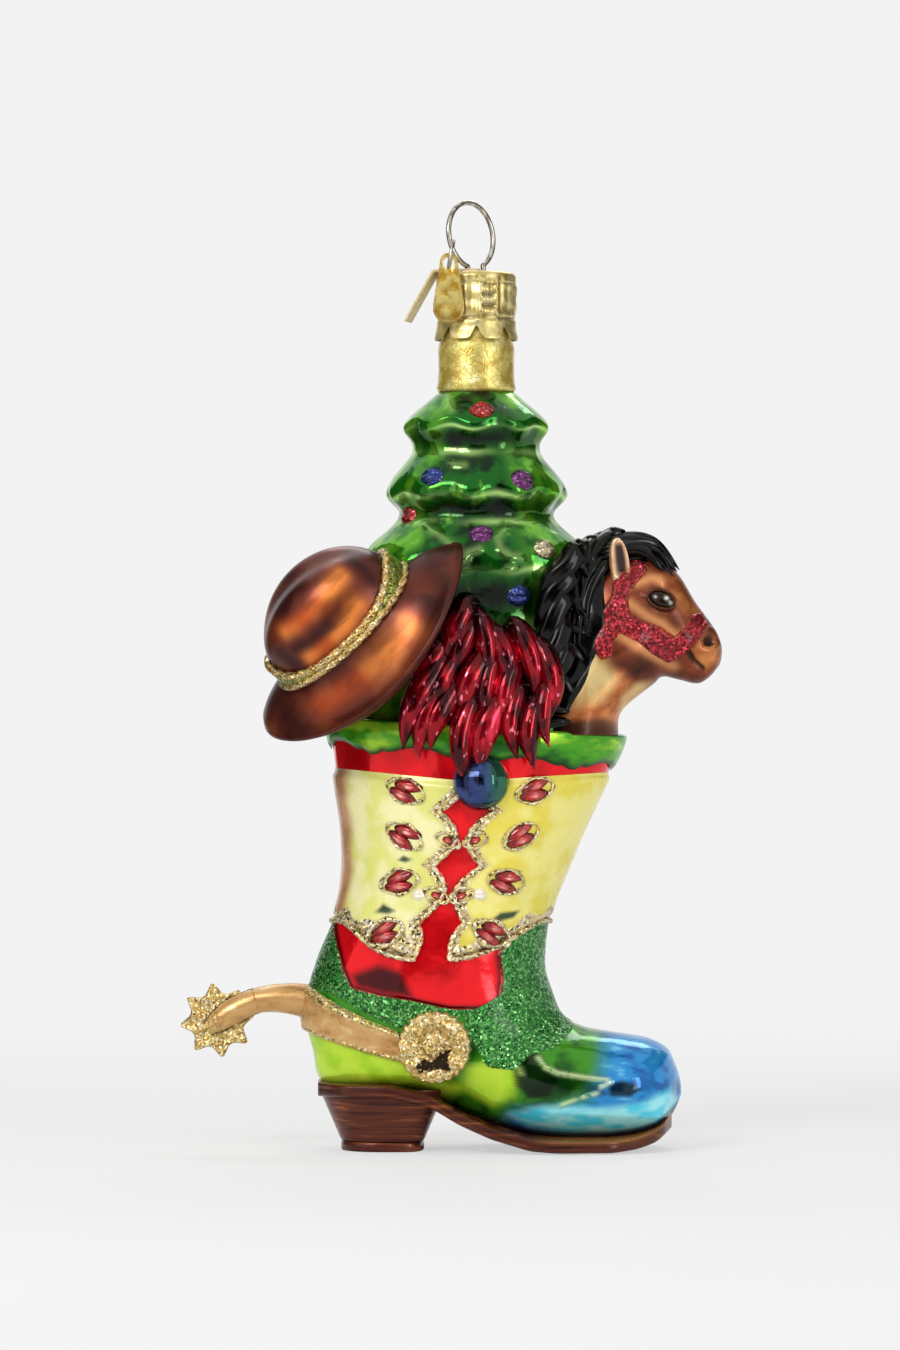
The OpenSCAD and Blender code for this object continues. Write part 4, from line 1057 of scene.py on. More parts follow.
dense = np.stack([blend(star, ahead, t) for t in np.linspace(0, 0.875, 8)], axis=1).reshape(-1, 2)
dense = np.mean([np.roll(dense, k, axis=0) for k in range(-2, 3)], axis=0)
thin = 0.7 - 0.42 * ease(np.linalg.norm(dense, axis=1), 4.0, 6.8)
rows = []
for k, h in ROWEL_ROWS:
    level = thin * np.sign(h) * min(abs(h) * 1.05, 1.0)
    rows.append(np.column_stack([ROWEL[0] + k * dense[:, 0], level, ROWEL[1] + k * dense[:, 1]]))
rowel = Clay()
rowel.skin(rows, dust=1.0)
rowel.piece("rowel_star", gold_paint, ["spur_rowel"], "spur_gold", crease=50)
turn = np.arange(32) * 11.25
pin = Clay()
pin.skin([np.column_stack([ROWEL[0] + r * cosd(turn), np.full(32, y), ROWEL[1] + r * sind(turn)])
          for r, y in PIN], dust=0.3)
pin.piece("rowel_rivet", gold_paint, ["rowel_pin"], "spur_gold", crease=50)

# %% [markdown]
# The tree is a stack of three skirts. Each skirt ends in a ring of drooping bough tips, with painted shade
# underneath and a painted highlight in light green along the top of every bough and along a few folds. Its
# flanks are painted lime and its front dark green, a painted reflection. Cones set on each other would show
# seams; here one profile is turned round the stem, and the boughs are waves that swell towards each rim.

# %% Tree
TREE_TOP = 128.5
TREE = [[6.5, 0, 1], [11.253, 4, 1], [12.1, 6, 0.98], [10.9, 10, 0.96], [15.2, 16.3, 0.93], [13.2, 21, 0.9],
        [18.4, 26.3, 0.85], [20, 30, 0.82], [18, 37, 0.82], [17.2, 46, 0.82]]
SKIRTS = ((1.75, 0.75, 9), (4.0, 0.7, 11), (6.7, 0.9, 13))
TREE_END = len(TREE) - 1
TREE_FOLDS = [[(426, 526), (440, 537), (455, 550), (464, 562), (467, 555), (479, 551)],
              [(504, 530), (497, 540), (500, 551), (508, 557), (521, 560)], [(507, 572), (514, 570)],
              [(452, 466), (464, 467)], [(447, 396), (452, 412)]]


def tree_glass(t):
    drift = t.noise(4, 3.0, stretch=(1, 1, 0.6))
    front = drift.step(0.36, 0.56).mix(rgb("042608"), rgb("116214"))
    lime = drift.step(0.38, 0.62).mix(rgb("1c7616"), rgb("6cb826"))
    # Lime flanks and a dark green front: a painted reflection.
    colour = t.mask("flank").mix(front, lime)
    colour = drift.step(0.62, 0.76).mix(colour, rgb("84d04a"))
    # Painted shade under each rim, then a painted highlight along the crests and folds.
    colour = t.mask("under").mix(colour, rgb("020803"))
    colour = t.mask("crest").mix(colour, rgb("c4f48c"))
    return lacquer(t, colour, rough=0.07, wave=0.45, dimples=0.35)


def tree_point(s, a, grow=0.0):
    """Point on the tree at a place down its profile and an angle round the stem."""
    s, a, grow = np.broadcast_arrays(*(np.asarray(v, float) for v in (s, a, grow)))
    q = spline(TREE, np.clip(s, 0, TREE_END))
    return np.stack([STEM_X + (q[..., 0] + grow) * cosd(a), (q[..., 0] * q[..., 2] + grow) * sind(a),
                     TREE_TOP - q[..., 1]], -1)


v, a = grid(190, 240)
s = TREE_END * v
bough = np.zeros_like(a)
crest = np.zeros_like(a)
under = np.zeros_like(a)
for rim, reach, count in SKIRTS:
    bough = bough + bell(s, rim, reach) * cosd(count * (a + 7 * rim))
    lip = bell(s, rim + 0.42 * reach, 0.09) + 0.8 * bell(s, rim + 1.75 * reach, 0.1)
    crest = np.maximum(crest, np.clip(lip, 0, 1) * (0.55 + 0.45 * cosd(5 * a + 90 * rim)))
    under = np.maximum(under, bell(s, rim + 1.1 * reach, 0.5 * reach))
rings = tree_point(s, a, 0.35 * bough)
rings[..., 2] -= 0.5 * bough
# The folds raise the skin and carry a painted highlight.
fold_line = strokes(rings, TREE_FOLDS, 0.7) * ease(-rings[..., 1], 0, 3)
rings[..., 1] += 0.45 * fold_line * sind(a)
crest = np.maximum(crest, 0.35 * fold_line)
flank = ease(np.abs(cosd(a)), 0.3, 0.75)
foot_rings = [boot_point(place, a[0], -1.4) for place in (0, 0.25, 0.5)]
tree = Clay()
tree.skin(np.concatenate([rings, foot_rings]), start=False, crest=np.pad(0.8 * crest, TAIL),
          under=np.pad(0.95 * under * (1 - 0.35 * flank), TAIL), flank=np.pad(flank, TAIL, "edge"))
tree.piece("tree_skirts", finish("tree_lacquer", tree_glass), ["tree"], "tree_green", sheet=True)

# %% [markdown]
# Baubles on the tree are dabs of thick glitter in four colours. One larger blue bauble hangs under the
# peppers, blown with shallow flutes, with a painted teal reflection on its right side. Whole balls would look
# glued on, so the dabs are low domes that sink a little into the boughs.

# %% Baubles
RED, BLUE, PURPLE, CREAM = 0.0, 0.3, 0.6, 0.9
BAUBLES = [(-85, 0.8, RED), (-122, 3.7, BLUE), (-58, 3.8, PURPLE), (-150, 5, RED), (-87, 5.6, PURPLE),
           (-52, 6.1, CREAM), (-68, 7.7, BLUE), (80, 1.6, RED), (125, 4, CREAM), (50, 4, BLUE), (98, 6, RED),
           (150, 6.6, PURPLE), (30, 6.6, CREAM), (95, 8.4, BLUE)]
HUES = [(RED, "a42a20"), (BLUE, "2a3e80"), (PURPLE, "6c2a6a"), (CREAM, "bcae88")]
BALL_AT = (15.7, -15.0, 62.7)
BALL_R = 4.8


def bauble_paint(t):
    stops = [(place, rgb(colour)[:3]) for place, colour in HUES]
    colour = t.node("ShaderNodeValToRGB", {"stops": stops}, {"Fac": t.mask("hue")})
    dark = t.noise(0.5).step(0.3, 0.6).mix(rgb("100818"), colour)
    light = t.noise(0.4).step(0.5, 0.8).mix(colour, rgb("e8e0f0"))
    dabs = glitter(t, dark, colour, light, 0.3, 0.7)
    cloud = t.noise(2.2, 3.0, stretch=(1, 1, 0.6))
    deep = cloud.step(0.4, 0.6).mix(rgb("0a0e28"), rgb("34467e"))
    # A painted teal reflection on the ball's right side.
    deep = (t.mask("teal") * cloud.step(0.3, 0.5)).mix(deep, rgb("2c6c50"))
    return t.mask("smooth").over(dabs, lacquer(t, deep, rough=0.08))


baubles = Clay()
for angle, s, hue in BAUBLES:
    p = tree_point(s, angle)
    across = tree_point(s, angle + 1) - p
    off = unit(np.cross(tree_point(s + 0.3, angle) - tree_point(s - 0.3, angle), across))
    across = unit(across)
    baubles.skin(petal_rings(p - 0.25 * off, across, np.cross(off, across), off, 2.25, 2.05, 1.5, 0), hue=hue)
paint = finish("bauble_glitter", bauble_paint)
baubles.piece("tree_dabs", paint, ["tree_baubles"], "bauble_blue")

v, a = grid(60, 96)
radius = BALL_R * sind(180 * np.clip(v, 0.01, 0.99)) * (1 + 0.01 * cosd(12 * a) * sind(180 * v))
ball = BALL_AT + np.stack([radius * cosd(a), radius * sind(a), BALL_R * cosd(180 * v)], -1)
drop = Clay()
drop.skin(ball, smooth=1.0, teal=ease(ball[..., 0], 15.4, 19.6))
drop.piece("big_bauble_ball", paint, ["big_bauble"], "bauble_blue")

# %% [markdown]
# Above the tree the glass runs out into a plain neck, painted gold and crackled. It is turned from a
# profile of radius and height, as on a lathe, because nothing on it breaks the round.

# %% Neck
NECK = [(4.9, 128.6), (6.3, 128.5), (6.75, 129.2), (6.55, 130.2), (6.4, 132.5), (6.5, 135.8), (6.3, 136.9),
        (5.95, 137.6), (5.9, 148.2), (5.7, 148.4), (4.9, 148.4), (4.9, 128.6)]


def crackle_gold(t):
    cells = t.node("ShaderNodeTexVoronoi", {"feature": "DISTANCE_TO_EDGE"},
                   {"Vector": t.place(), "Scale": 1 / (1.1 * MM)})
    crack = cells.step(0.0, 0.12)
    pale = t.noise(2.2, 3.0).shades((0.36, 0.56), (0.58, 0.7), rgb("c6aa48"), rgb("e8d678"), rgb("fbf3b4"))
    colour = (0.5 + 0.5 * crack).mix(rgb("b49444"), pale)
    return t.coat(colour, Metallic=0.45, Roughness=0.24 + 0.2 * t.noise(0.6), Coat_Weight=0.25,
                  Normal=t.bump(crack + 0.6 * t.noise(0.7, 2.0), 0.16, 0.2))


def turned(profile, sides):
    """Rings round the stem from pairs of radius and height."""
    angle = np.arange(sides) * 360.0 / sides
    return np.array([np.column_stack([STEM_X + r * cosd(angle), r * sind(angle), np.full(sides, z)])
                     for r, z in profile])


neck = Clay()
neck.skin(turned(NECK, 128), start=False, end=False)
neck.piece("neck_glass", finish("neck_crackle", crackle_gold), ["neck"], "neck_gold")

# %% [markdown]
# The stamped cap sits over the neck: thin sheet folded into flutes, petals along its lower edge, a
# pressed clip on the viewer's side and two eyelets where the hanger goes in. Cut and bent sheet would
# need many pieces, so the folds are pressed into one wall, in and out of its radius.

# %% Cap
CAP_TOP = 148.95
CAP_LOW = 137.45
CAP_SIDES = 256
CAP_ROWS = 80
CAP_R = 6.7
SHEET_T = 0.22
CLIP_TURN = 288
CLIP_Z = 144.0
CLIP_HALF = (1.7, 3.2)
LID = [(6.62, 0.45), (6.35, 0.16), (5.9, 0.03), (4.5, 0.0), (3.4, 0.06), (0.05, 0.05)]
ROOF = [(0.05, 0.3), (3.4, 0.3), (5.9, 0.3)]
HOLE_X = 2.0
HOLE_TURN = 48
EYELET_R = 0.95


def stamped_gold(t):
    worn = t.noise(2.2, 3.0)
    colour = worn.step(0.35, 0.65).mix(rgb("cdb76c"), rgb("e6d698"))
    # Painted shade in the crimps, round the clip, inside the wall and in the eyelets.
    colour = t.mask("fold").mix(colour, rgb("4c3a1c"))
    return t.coat(colour, Metallic=0.75, Roughness=0.26 + 0.18 * worn,
                  Normal=t.bump(t.noise(1.4, 3.0), 0.3, 0.3))


v, a = grid(CAP_ROWS, CAP_SIDES)
notch = np.abs(((a + 22.5) % 45) - 22.5) * np.pi / 180 * 7.0
z = blend(CAP_LOW + 2.1 * bell(notch, 0, 0.85), CAP_TOP - 0.8, v)
flutes = cosd(24 * a) * bell(v, 0.72, 0.3)
crimp = bell(z, CAP_LOW + 3.6, 0.3) + 0.6 * bell(z, CAP_TOP - 2.0, 0.22)
side_mm = (((a - CLIP_TURN + 180) % 360) - 180) * np.pi / 180 * 6.8
clip_box = np.maximum(np.abs(side_mm) - CLIP_HALF[0], np.abs(z - CLIP_Z) - CLIP_HALF[1])
bars = ease(-clip_box, 0.35, 0.6) * (0.5 + 0.5 * np.cos(2 * np.pi * (z - CLIP_Z) / 1.9))
dents = 0.16 * np.sin(3.1 * a * np.pi / 180 + 1.3 * z) * np.sin(0.9 * z + 2)
radius = CAP_R + 0.5 * (1 - ease(z, CAP_LOW, CAP_LOW + 2.4)) + 0.10 * flutes - 0.28 * crimp
radius = radius + 0.5 * bell(clip_box, -0.25, 0.42) + 0.34 * bars + dents * ease(z, CAP_LOW + 1, CAP_LOW + 4)
# Painted shade in the crimps and round the clip.
fold = np.clip(0.8 * crimp * (0.6 + 0.4 * flutes) + ease(-clip_box, 0.3, 0.7) * (1 - bars) * 0.8, 0, 1)
wall = np.stack([STEM_X + radius * cosd(a), radius * sind(a), z], -1)
inside = np.stack([STEM_X + (radius - SHEET_T) * cosd(a), (radius - SHEET_T) * sind(a), z], -1)
lid = turned([(r, CAP_TOP - d) for r, d in LID], CAP_SIDES)
roof = turned([(r, CAP_TOP - d) for r, d in ROOF], CAP_SIDES)
shade = np.concatenate([np.full((len(ROOF), CAP_SIDES), 0.4), np.full((CAP_ROWS, CAP_SIDES), 0.5), fold,
                        np.zeros((len(LID), CAP_SIDES))])
cap = Clay()
cap.skin(np.concatenate([roof, inside[::-1], wall, lid]), fold=shade)
ring = np.arange(74) * 5.0
around = np.column_stack([cosd(ring), sind(ring), np.zeros(74)])
for side in (-1, 1):
    at = np.array([STEM_X + side * HOLE_X * cosd(HOLE_TURN), side * HOLE_X * sind(HOLE_TURN), CAP_TOP])
    cap.skin(tube_rings(at + EYELET_R * around + [0, 0, 0.02], SHEET_T, 10), fold=0.1)
    # A dark disc in each eyelet: painted shade in the hole.
    cap.skin([at + k * around[:72] + [0, 0, 0.03] for k in (0.85, 0.425, 0.0425)], start=False, fold=1.0)
cap.piece("stamped_cap", finish("cap_sheet", stamped_gold), ["cap"], "cap_gold", body="cap", crease=55)

# %% [markdown]
# The hanger is one length of drawn steel: a round loop over the cap and two spring legs in the neck. The
# small ring that carries the tag hangs in its left side. Both are tubes along a path, which is what wire
# is; a torus would do for the ring, but not for the open loop.

# %% Hanger and tag ring
WIRE_R = 0.45
LOOP_R = 5.6
LOOP_FOOT = 1.2
LOOP_Z = LOOP_FOOT + math.sqrt(LOOP_R ** 2 - HOLE_X ** 2)
LOOP_LEAN = 8
LEG_SPREAD = 4
RING_R = 2.6
RING_WIRE_R = 0.25
RING_REACH = RING_R - WIRE_R - RING_WIRE_R - 0.15
RING_STANDS = 76
RING_DIP = 37
RING_TURN = -101
TAG_ON_LOOP = 203


def drawn_wire(t):
    scratch = t.noise(0.7, 4.0, stretch=(1, 1, 0.25))
    colour = scratch.step(0.35, 0.65).mix(rgb("8d8778"), rgb("d8d3c6"))
    return t.coat(colour, Metallic=0.95, Roughness=0.22 + 0.2 * scratch, Normal=t.bump(scratch, 0.15, 0.05))


def hanger_place(p):
    """From the hanger's own upright frame to its leaning place on the cap."""
    x, y = swung(p[..., 0], p[..., 1], HOLE_TURN)
    x, z = swung(x, p[..., 2], LOOP_LEAN)
    return np.stack([STEM_X + x, y, CAP_TOP + z], -1)


def on_loop(angle):
    """Points of the loop, in the hanger's own frame."""
    angle = np.asarray(angle, float)
    return np.stack([LOOP_R * cosd(angle), 0 * angle, LOOP_Z + LOOP_R * sind(angle)], -1)


open_angle = math.degrees(math.acos(HOLE_X / LOOP_R))
arc = on_loop(np.linspace(-open_angle, 180 + open_angle, 120))
down = np.linspace(11, 0.3, 30)[:, None]
leg = np.array([HOLE_X, 0, LOOP_FOOT]) + down * [-sind(LEG_SPREAD), 0, -cosd(LEG_SPREAD)]
other = (leg * [-1, 1, 1])[::-1]
steel = finish("drawn_steel", drawn_wire)
hanger = Clay()
hanger.skin(tube_rings(hanger_place(np.concatenate([leg, arc, other])), WIRE_R, 14))
hanger.piece("hanger_loop_wire", steel, ["hanger_wire"], "wire_steel", body="hanger")

tag_at = hanger_place(on_loop(TAG_ON_LOOP))
turn = np.arange(98) * 360 / 96.0
x = RING_R * cosd(turn) + RING_REACH
y = RING_R * sind(turn) * cosd(RING_STANDS)
z, x = swung(RING_R * sind(turn) * sind(RING_STANDS), x, RING_DIP)
x, y = swung(x, y, RING_TURN)
loop = Clay()
loop.skin(tube_rings(tag_at + np.column_stack([x, y, z]), RING_WIRE_R, 12))
loop.piece("tag_ring_wire", steel, ["tag_ring"], "wire_steel", body="ring")

# %% [markdown]
# The small tag is a gilt drop, left blank, with a hole for the ring. A flat cut-out would have a dead
# edge, so the sheet is skinned from the hole to the outline, round the edge and back again.

# %% Gold tag
TAG_ROWS = 18
TAG_HOLE_R = 1.0
TAG_TOP = (0.3, 1.5)
TAG_FOOT = (-7.5, 2.7)


def gilt(t):
    dent = t.noise(1.6, 3.0)
    colour = dent.step(0.35, 0.6).mix(rgb("d8a838"), rgb("f2dc84"))
    colour = t.mask("rim").mix(colour, rgb("8a5f1e"))
    return t.coat(colour, Metallic=0.55, Roughness=0.2 + 0.18 * dent, Normal=t.bump(dent, 0.5, 0.3))


def sheet_with_hole(outline, hole_r, thick, rows):
    """Closed thin sheet from a round hole to an outline, as rings: over, round the edge, under."""
    way = np.degrees(np.arctan2(outline[:, 1], outline[:, 0]))
    hole = hole_r * np.column_stack([cosd(way), sind(way)])
    top = []
    for k in np.linspace(0, 1, rows):
        puff = thick / 2 * min(1, 0.55 + 4 * k * (1 - k) + 0.45 * ease(k, 0.75, 0.9))
        puff = puff * (1 if k < 0.99 else 0.5)
        top.append(np.column_stack([blend(hole, outline, k), np.full(len(outline), puff)]))
    low = [p * [1, 1, -1] for p in top[::-1]]
    return np.array(top + low + [top[0]])


def sheet_rim(rows, low, high):
    """Paint border along the outer edge of such a sheet."""
    rim = ease(np.linspace(0, 1, rows), low, high)
    return np.concatenate([rim, rim[::-1], [0]])[:, None]


reach = np.linspace(0, 11, 441)
hull = []
for angle in np.linspace(0, 360, 120, endpoint=False):
    x = reach * cosd(angle)
    y = reach * sind(angle)
    half = np.interp(-y, [-TAG_TOP[0], -TAG_FOOT[0]], [TAG_TOP[1], TAG_FOOT[1]])
    inside = (np.abs(x) <= half) & (y <= TAG_TOP[0]) & (y >= TAG_FOOT[0])
    for height, radius in (TAG_TOP, TAG_FOOT):
        inside = inside | (np.hypot(x, y - height) <= radius)
    last = np.nonzero(inside)[0].max()
    hull.append((x[last], y[last]))
sheet = sheet_with_hole(np.array(hull), TAG_HOLE_R, 0.5, TAG_ROWS)
hang = np.array([cosd(RING_DIP) * cosd(RING_TURN), cosd(RING_DIP) * sind(RING_TURN), -sind(RING_DIP)])
tag_eye = tag_at + (RING_REACH + RING_R) * hang
tag = Clay()
tag.skin(tag_eye + np.stack([sheet[..., 0], -sheet[..., 2], sheet[..., 1]], -1), start=False, end=False,
         rim=0.6 * sheet_rim(TAG_ROWS, 0.75, 0.95))
tag.piece("gilt_drop", finish("gilt_sheet", gilt), ["gold_tag"], "tag_gold", body="tag")

# %% [markdown]
# The card is a thin pale strip, left blank, threaded on the left leg and bent down over the cap. It could
# be two flat pieces with a joint; it is made flat with its hole and then bent, point by point, so the
# bend stays round.

# %% Card
CARD_FROM = 2.0
CARD_TO = -15.5
CARD_HALF = 2.1
CARD_ROWS = 40
CARD_TURN = -14
BEND_AT = -5.2
BEND_R = 0.8
BEND = math.radians(60)


def pale_card(t):
    fibre = t.noise(0.8, 4.0)
    colour = fibre.step(0.3, 0.7).mix(rgb("e2d2ac"), rgb("f6ecd2"))
    colour = t.mask("rim").mix(colour, rgb("c8a860"))
    return t.coat(colour, Metallic=0.1, Roughness=0.45 + 0.2 * fibre, Normal=t.bump(fibre, 0.2, 0.06))


edge_x = np.concatenate([np.full(16, CARD_FROM), np.linspace(CARD_FROM, CARD_TO, 60), np.full(16, CARD_TO),
                         np.linspace(CARD_TO, CARD_FROM, 60)])
edge_y = np.concatenate([np.linspace(-CARD_HALF, CARD_HALF, 16), np.full(60, CARD_HALF),
                         np.linspace(CARD_HALF, -CARD_HALF, 16), np.full(60, -CARD_HALF)])
flat = sheet_with_hole(np.column_stack([edge_x, edge_y]), TAG_HOLE_R, 0.4, CARD_ROWS)
past = np.maximum(BEND_AT - flat[..., 0], 0)
swing = np.minimum(past / BEND_R, BEND)
straight = np.maximum(past - BEND_R * BEND, 0)
x = np.maximum(flat[..., 0], BEND_AT) - (BEND_R + flat[..., 2]) * np.sin(swing) - straight * np.cos(swing)
z = flat[..., 2] + (BEND_R + flat[..., 2]) * (np.cos(swing) - 1) - straight * np.sin(swing)
x, y = swung(x, flat[..., 1], CARD_TURN)
pivot = np.array([STEM_X - HOLE_X * cosd(HOLE_TURN), -HOLE_X * sind(HOLE_TURN), CAP_TOP + 0.3])
card = Clay()
card.skin(pivot + np.stack([x, y, z], -1), start=False, end=False, rim=0.5 * sheet_rim(CARD_ROWS, 0.93, 1))
card.piece("card_strip", finish("card_stock", pale_card), ["card_tag"], "tag_card", body="card", crease=50)

# %% [markdown]
# The hat leans on the tree, crown towards the viewer's left. Crown, brim and band are turned in the hat's own
# frame and tipped into place together. The paint is brown bronze, with a painted highlight in orange where
# the light strikes and painted shade in dark strokes, at the crown's foot and on the brim's edges and
# underside; strokes drawn on the picture say where, since noise alone would put it anywhere.

# %% Hat crown and brim
HAT_AT = np.array([-6.8, -11.22, 88.5])
HAT_TURN = -16
HAT_TIP = 22
HAT_LEAN = 48
CROWN_H = 14.5
CROWN_HALF = (14.0, 10.5)
HAT_HIGHLIGHTS = [[(289, 631), (299, 626), (314, 614), (328, 599), (343, 579)],
            [(314, 656), (331, 642), (349, 626), (358, 608)],
            [(325, 703), (358, 681), (384, 658), (398, 643), (409, 628)]]
HAT_SHADE = [[(299, 649), (314, 642), (331, 626)], [(354, 562), (364, 570), (374, 582)],
             [(284, 654), (299, 665)], [(276, 690), (284, 712), (302, 728)],
             [(430, 560), (448, 590), (444, 616)]]


def hat_place(p):
    """From the hat's own upright frame to its place against the tree."""
    x, y = swung(p[..., 0], p[..., 1], HAT_TURN)
    y, z = swung(y, p[..., 2], HAT_TIP)
    x, z = swung(x, z, HAT_LEAN)
    return HAT_AT + np.stack([x, y, z], -1)


def hat_brown(t):
    streak = t.noise(9, 2.0, stretch=(0.4, 1, 1.1), rough=0.45, lean=-44)
    colour = streak.shades((0.34, 0.5), (0.56, 0.74), rgb("3e1a16"), rgb("6a3022"), rgb("8e4828"))
    # Painted highlight in orange along the drawn strokes.
    colour = t.mask("glow").mix(colour, streak.step(0.4, 0.64).mix(rgb("c05020"), rgb("f08c40")))
    brush = t.noise(2.4, 3.0, stretch=(0.22, 1, 1), lean=44)
    colour = (0.4 * brush.step(0.5, 0.7)).mix(colour, rgb("541f12"))
    colour = t.mask("shade").mix(colour, rgb("2c1012"))
    grain = t.noise(0.4, 2.0)
    return t.coat(colour, Metallic=0.4, Roughness=0.26 + 0.14 * grain, Specular_IOR_Level=0.2,
                  Coat_Weight=0.08, Coat_Roughness=0.1, Normal=t.bump(streak + 0.1 * grain, 0.1, 0.5))


def crown_rings(z, a, grow=0.0):
    """Points of the crown at a height and an angle, with the dent along its top."""
    f = np.maximum(z / CROWN_H, 0)
    k = np.sqrt(np.maximum(1 - f ** 3.2, 0.0004)) * (1 - 0.12 * f)
    x = (CROWN_HALF[0] * k + grow) * cosd(a)
    y = (CROWN_HALF[1] * k + grow) * sind(a)
    return np.stack([x, y, z - 1.8 * ease(f, 0.3, 1.0) * bell(y, 0, 4.2)], -1)


felt = finish("hat_bronze_brown", hat_brown)
v, a = grid(90, 160)
z = CROWN_H * (1 - (1 - v) ** 1.8) * 0.9995 - 1.2 * (1 - v) ** 6
placed = hat_place(crown_rings(z, a))
crown = Clay()
crown.skin(placed, glow=strokes(placed, HAT_HIGHLIGHTS, 1.5),
           shade=np.maximum(0.6 * bell(z, 0.6, 0.8), 0.85 * strokes(placed, HAT_SHADE, 1.4)))
crown.piece("hat_crown_dome", felt, ["hat_crown"], "hat_brown")

f, a = grid(40, 200)
x = blend(14.1, 23.0, f) * cosd(a) + 0.8 * f
y = blend(10.6, 18.0, f) * sind(a)
drop = 3 * f ** 2 * cosd(a) ** 2 + 7.4 * sind(120 * f) * sind(a) ** 2
thick = 0.7 - 0.3 * ease(f, 0.93, 1.0)
above = np.stack([x, y, thick - drop], -1)
below = np.stack([x, y, -thick - drop], -1)
lip = blend(above[-1], below[-1], 0.5) + 0.25 * np.column_stack([cosd(a[0]), sind(a[0]), np.zeros(200)])
placed = hat_place(np.concatenate([above, [lip], below[::-1], [above[0]]]))
# Painted shade along the brim's edges and on its underside.
edge = 0.55 * bell(f, 0, 0.16) + 0.45 * bell(f, 1, 0.06)
edge = np.concatenate([edge, edge[-1:], 0.5 + 0.4 * edge[::-1], edge[:1]])
brim = Clay()
brim.skin(placed, start=False, end=False, glow=0.72 * strokes(placed, HAT_HIGHLIGHTS, 2.6) * (1 - edge),
          shade=np.maximum(edge, 0.7 * strokes(placed, HAT_SHADE, 2.6)))
brim.piece("hat_brim_sheet", felt, ["hat_brim"], "hat_brown")

# %% [markdown]
# The hat's band is a bed of moss green glitter between two ropes of gold. It is wide at the hat's two
# ends and narrow along its sides, so a plain ring would not do; both ropes follow the crown's own points.

# %% Hat band
BAND_BED = [(-0.05, 0.1), (0.1, 0.7), (0.5, 0.85), (0.9, 0.7), (1.05, 0.1)]


def band_gold(t):
    cord = glitter(t, GOLD_DARK, GOLD_MID, GOLD_LIGHT, 0.36)
    moss = glitter(t, rgb("343a0c"), rgb("7e8a2a"), rgb("d6d87c"), 0.36)
    return t.mask("moss").over(cord, moss)


def band_path(share, angle, out):
    """A line round the crown: share 0 is the band's lower edge, 1 its upper one."""
    ends = cosd(angle) ** 4
    height = blend(blend(1.2, 0.8, ends), blend(2.3, 4.9, ends), share)
    return hat_place(crown_rings(height, angle, out))


turn = np.arange(242) * 1.5
band = Clay()
for share in (0.0, 1.0):
    band.skin(tube_rings(band_path(share, turn, 0.55), 0.62, 14, 4, 2.6))
band.skin([band_path(share, turn[:240], out) for share, out in BAND_BED], start=False, end=False, moss=1.0)
band.piece("hat_band_rope", finish("band_glitter", band_gold), ["hat_band"], "band_gold")

# %% [markdown]
# The horse looks right over the collar. One loft makes neck, cheek and muzzle; on it a mould maker would cut
# the eye socket, the nostril, the mouth and the round of the jaw. Lumps joined together would leave creases,
# so this relief is pushed in and out of the loft. The brown bronze carries painted highlights, in gold along
# the jaw, the pouch and the brow and in cream on the neck, and painted shade under the jaw, under the eye and
# at the foot of the neck.

# %% Horse head
HORSE_AT = np.array([15.0, -5.0, BOOT_H])
HORSE = [[7.8, 2, 24, 2, 8.4], [9.5, 6.5, 24.6, 6, 8.2], [11.5, 14.5, 30, 10.6, 7.8],
         [14.5, 23.5, 31, 11.6, 7.4], [19.5, 31, 32, 11.8, 7.2], [28.5, 33.5, 33.4, 11.5, 6.7],
         [33.8, 29.5, 35, 11.1, 6.1], [37, 24.5, 36.6, 10.7, 5.3], [40, 20.3, 38, 10.8, 4.7],
         [41.4, 17.1, 39.6, 11.9, 3.8], [41.5, 15.4, 41, 13.6, 1.8]]
HORSE_END = len(HORSE) - 1
EYE = [(640, 596), (648, 592), (658, 592), (667, 598), (671, 606), (666, 611), (657, 610), (648, 604)]
NOSTRIL = [(701, 640), (705, 635), (711, 637), (712, 643), (707, 646), (702, 645)]
MOUTH = [(686, 653), (692, 662), (700, 669)]
JAW = [(618, 636), (640, 649), (659, 661), (672, 667)]
POUCH = [(627, 604), (645, 617), (659, 624), (675, 636)]
CHEEK = [(600, 640), (616, 622), (640, 630), (648, 650), (632, 664), (610, 660)]
BROW = [(636, 585), (648, 580), (660, 582)]
FOREHEAD = [(652, 578), (676, 578), (692, 604), (700, 612), (686, 618), (678, 606), (668, 594)]
MUZZLE = [(690, 648), (704, 634), (716, 640), (716, 660), (704, 670), (694, 664)]
NECK_HIGHLIGHT = [(562, 662), (574, 648), (590, 646), (604, 660), (612, 680), (600, 700), (566, 704)]
TAN_PATCH = [(556, 690), (580, 676), (616, 676), (640, 690), (630, 724), (556, 724)]
THROAT_SHADE = [(610, 662), (636, 656), (660, 668), (652, 680), (630, 676)]
THROAT_LIGHT = [(620, 696), (634, 684), (650, 681), (641, 694), (625, 712), (618, 707)]
NECK_FOOT_SHADE = [(546, 723), (600, 717), (620, 723), (618, 736), (546, 736)]
UNDER_EYE_SHADE = [(667, 616), (676, 613), (684, 618), (682, 626), (674, 632), (668, 626)]


def horse_point(s, a, grow=0.0):
    """Point on the horse: angle 0 is its crest and forehead, -90 the viewer's side."""
    return HORSE_AT + loft_point(HORSE, s, a, grow)


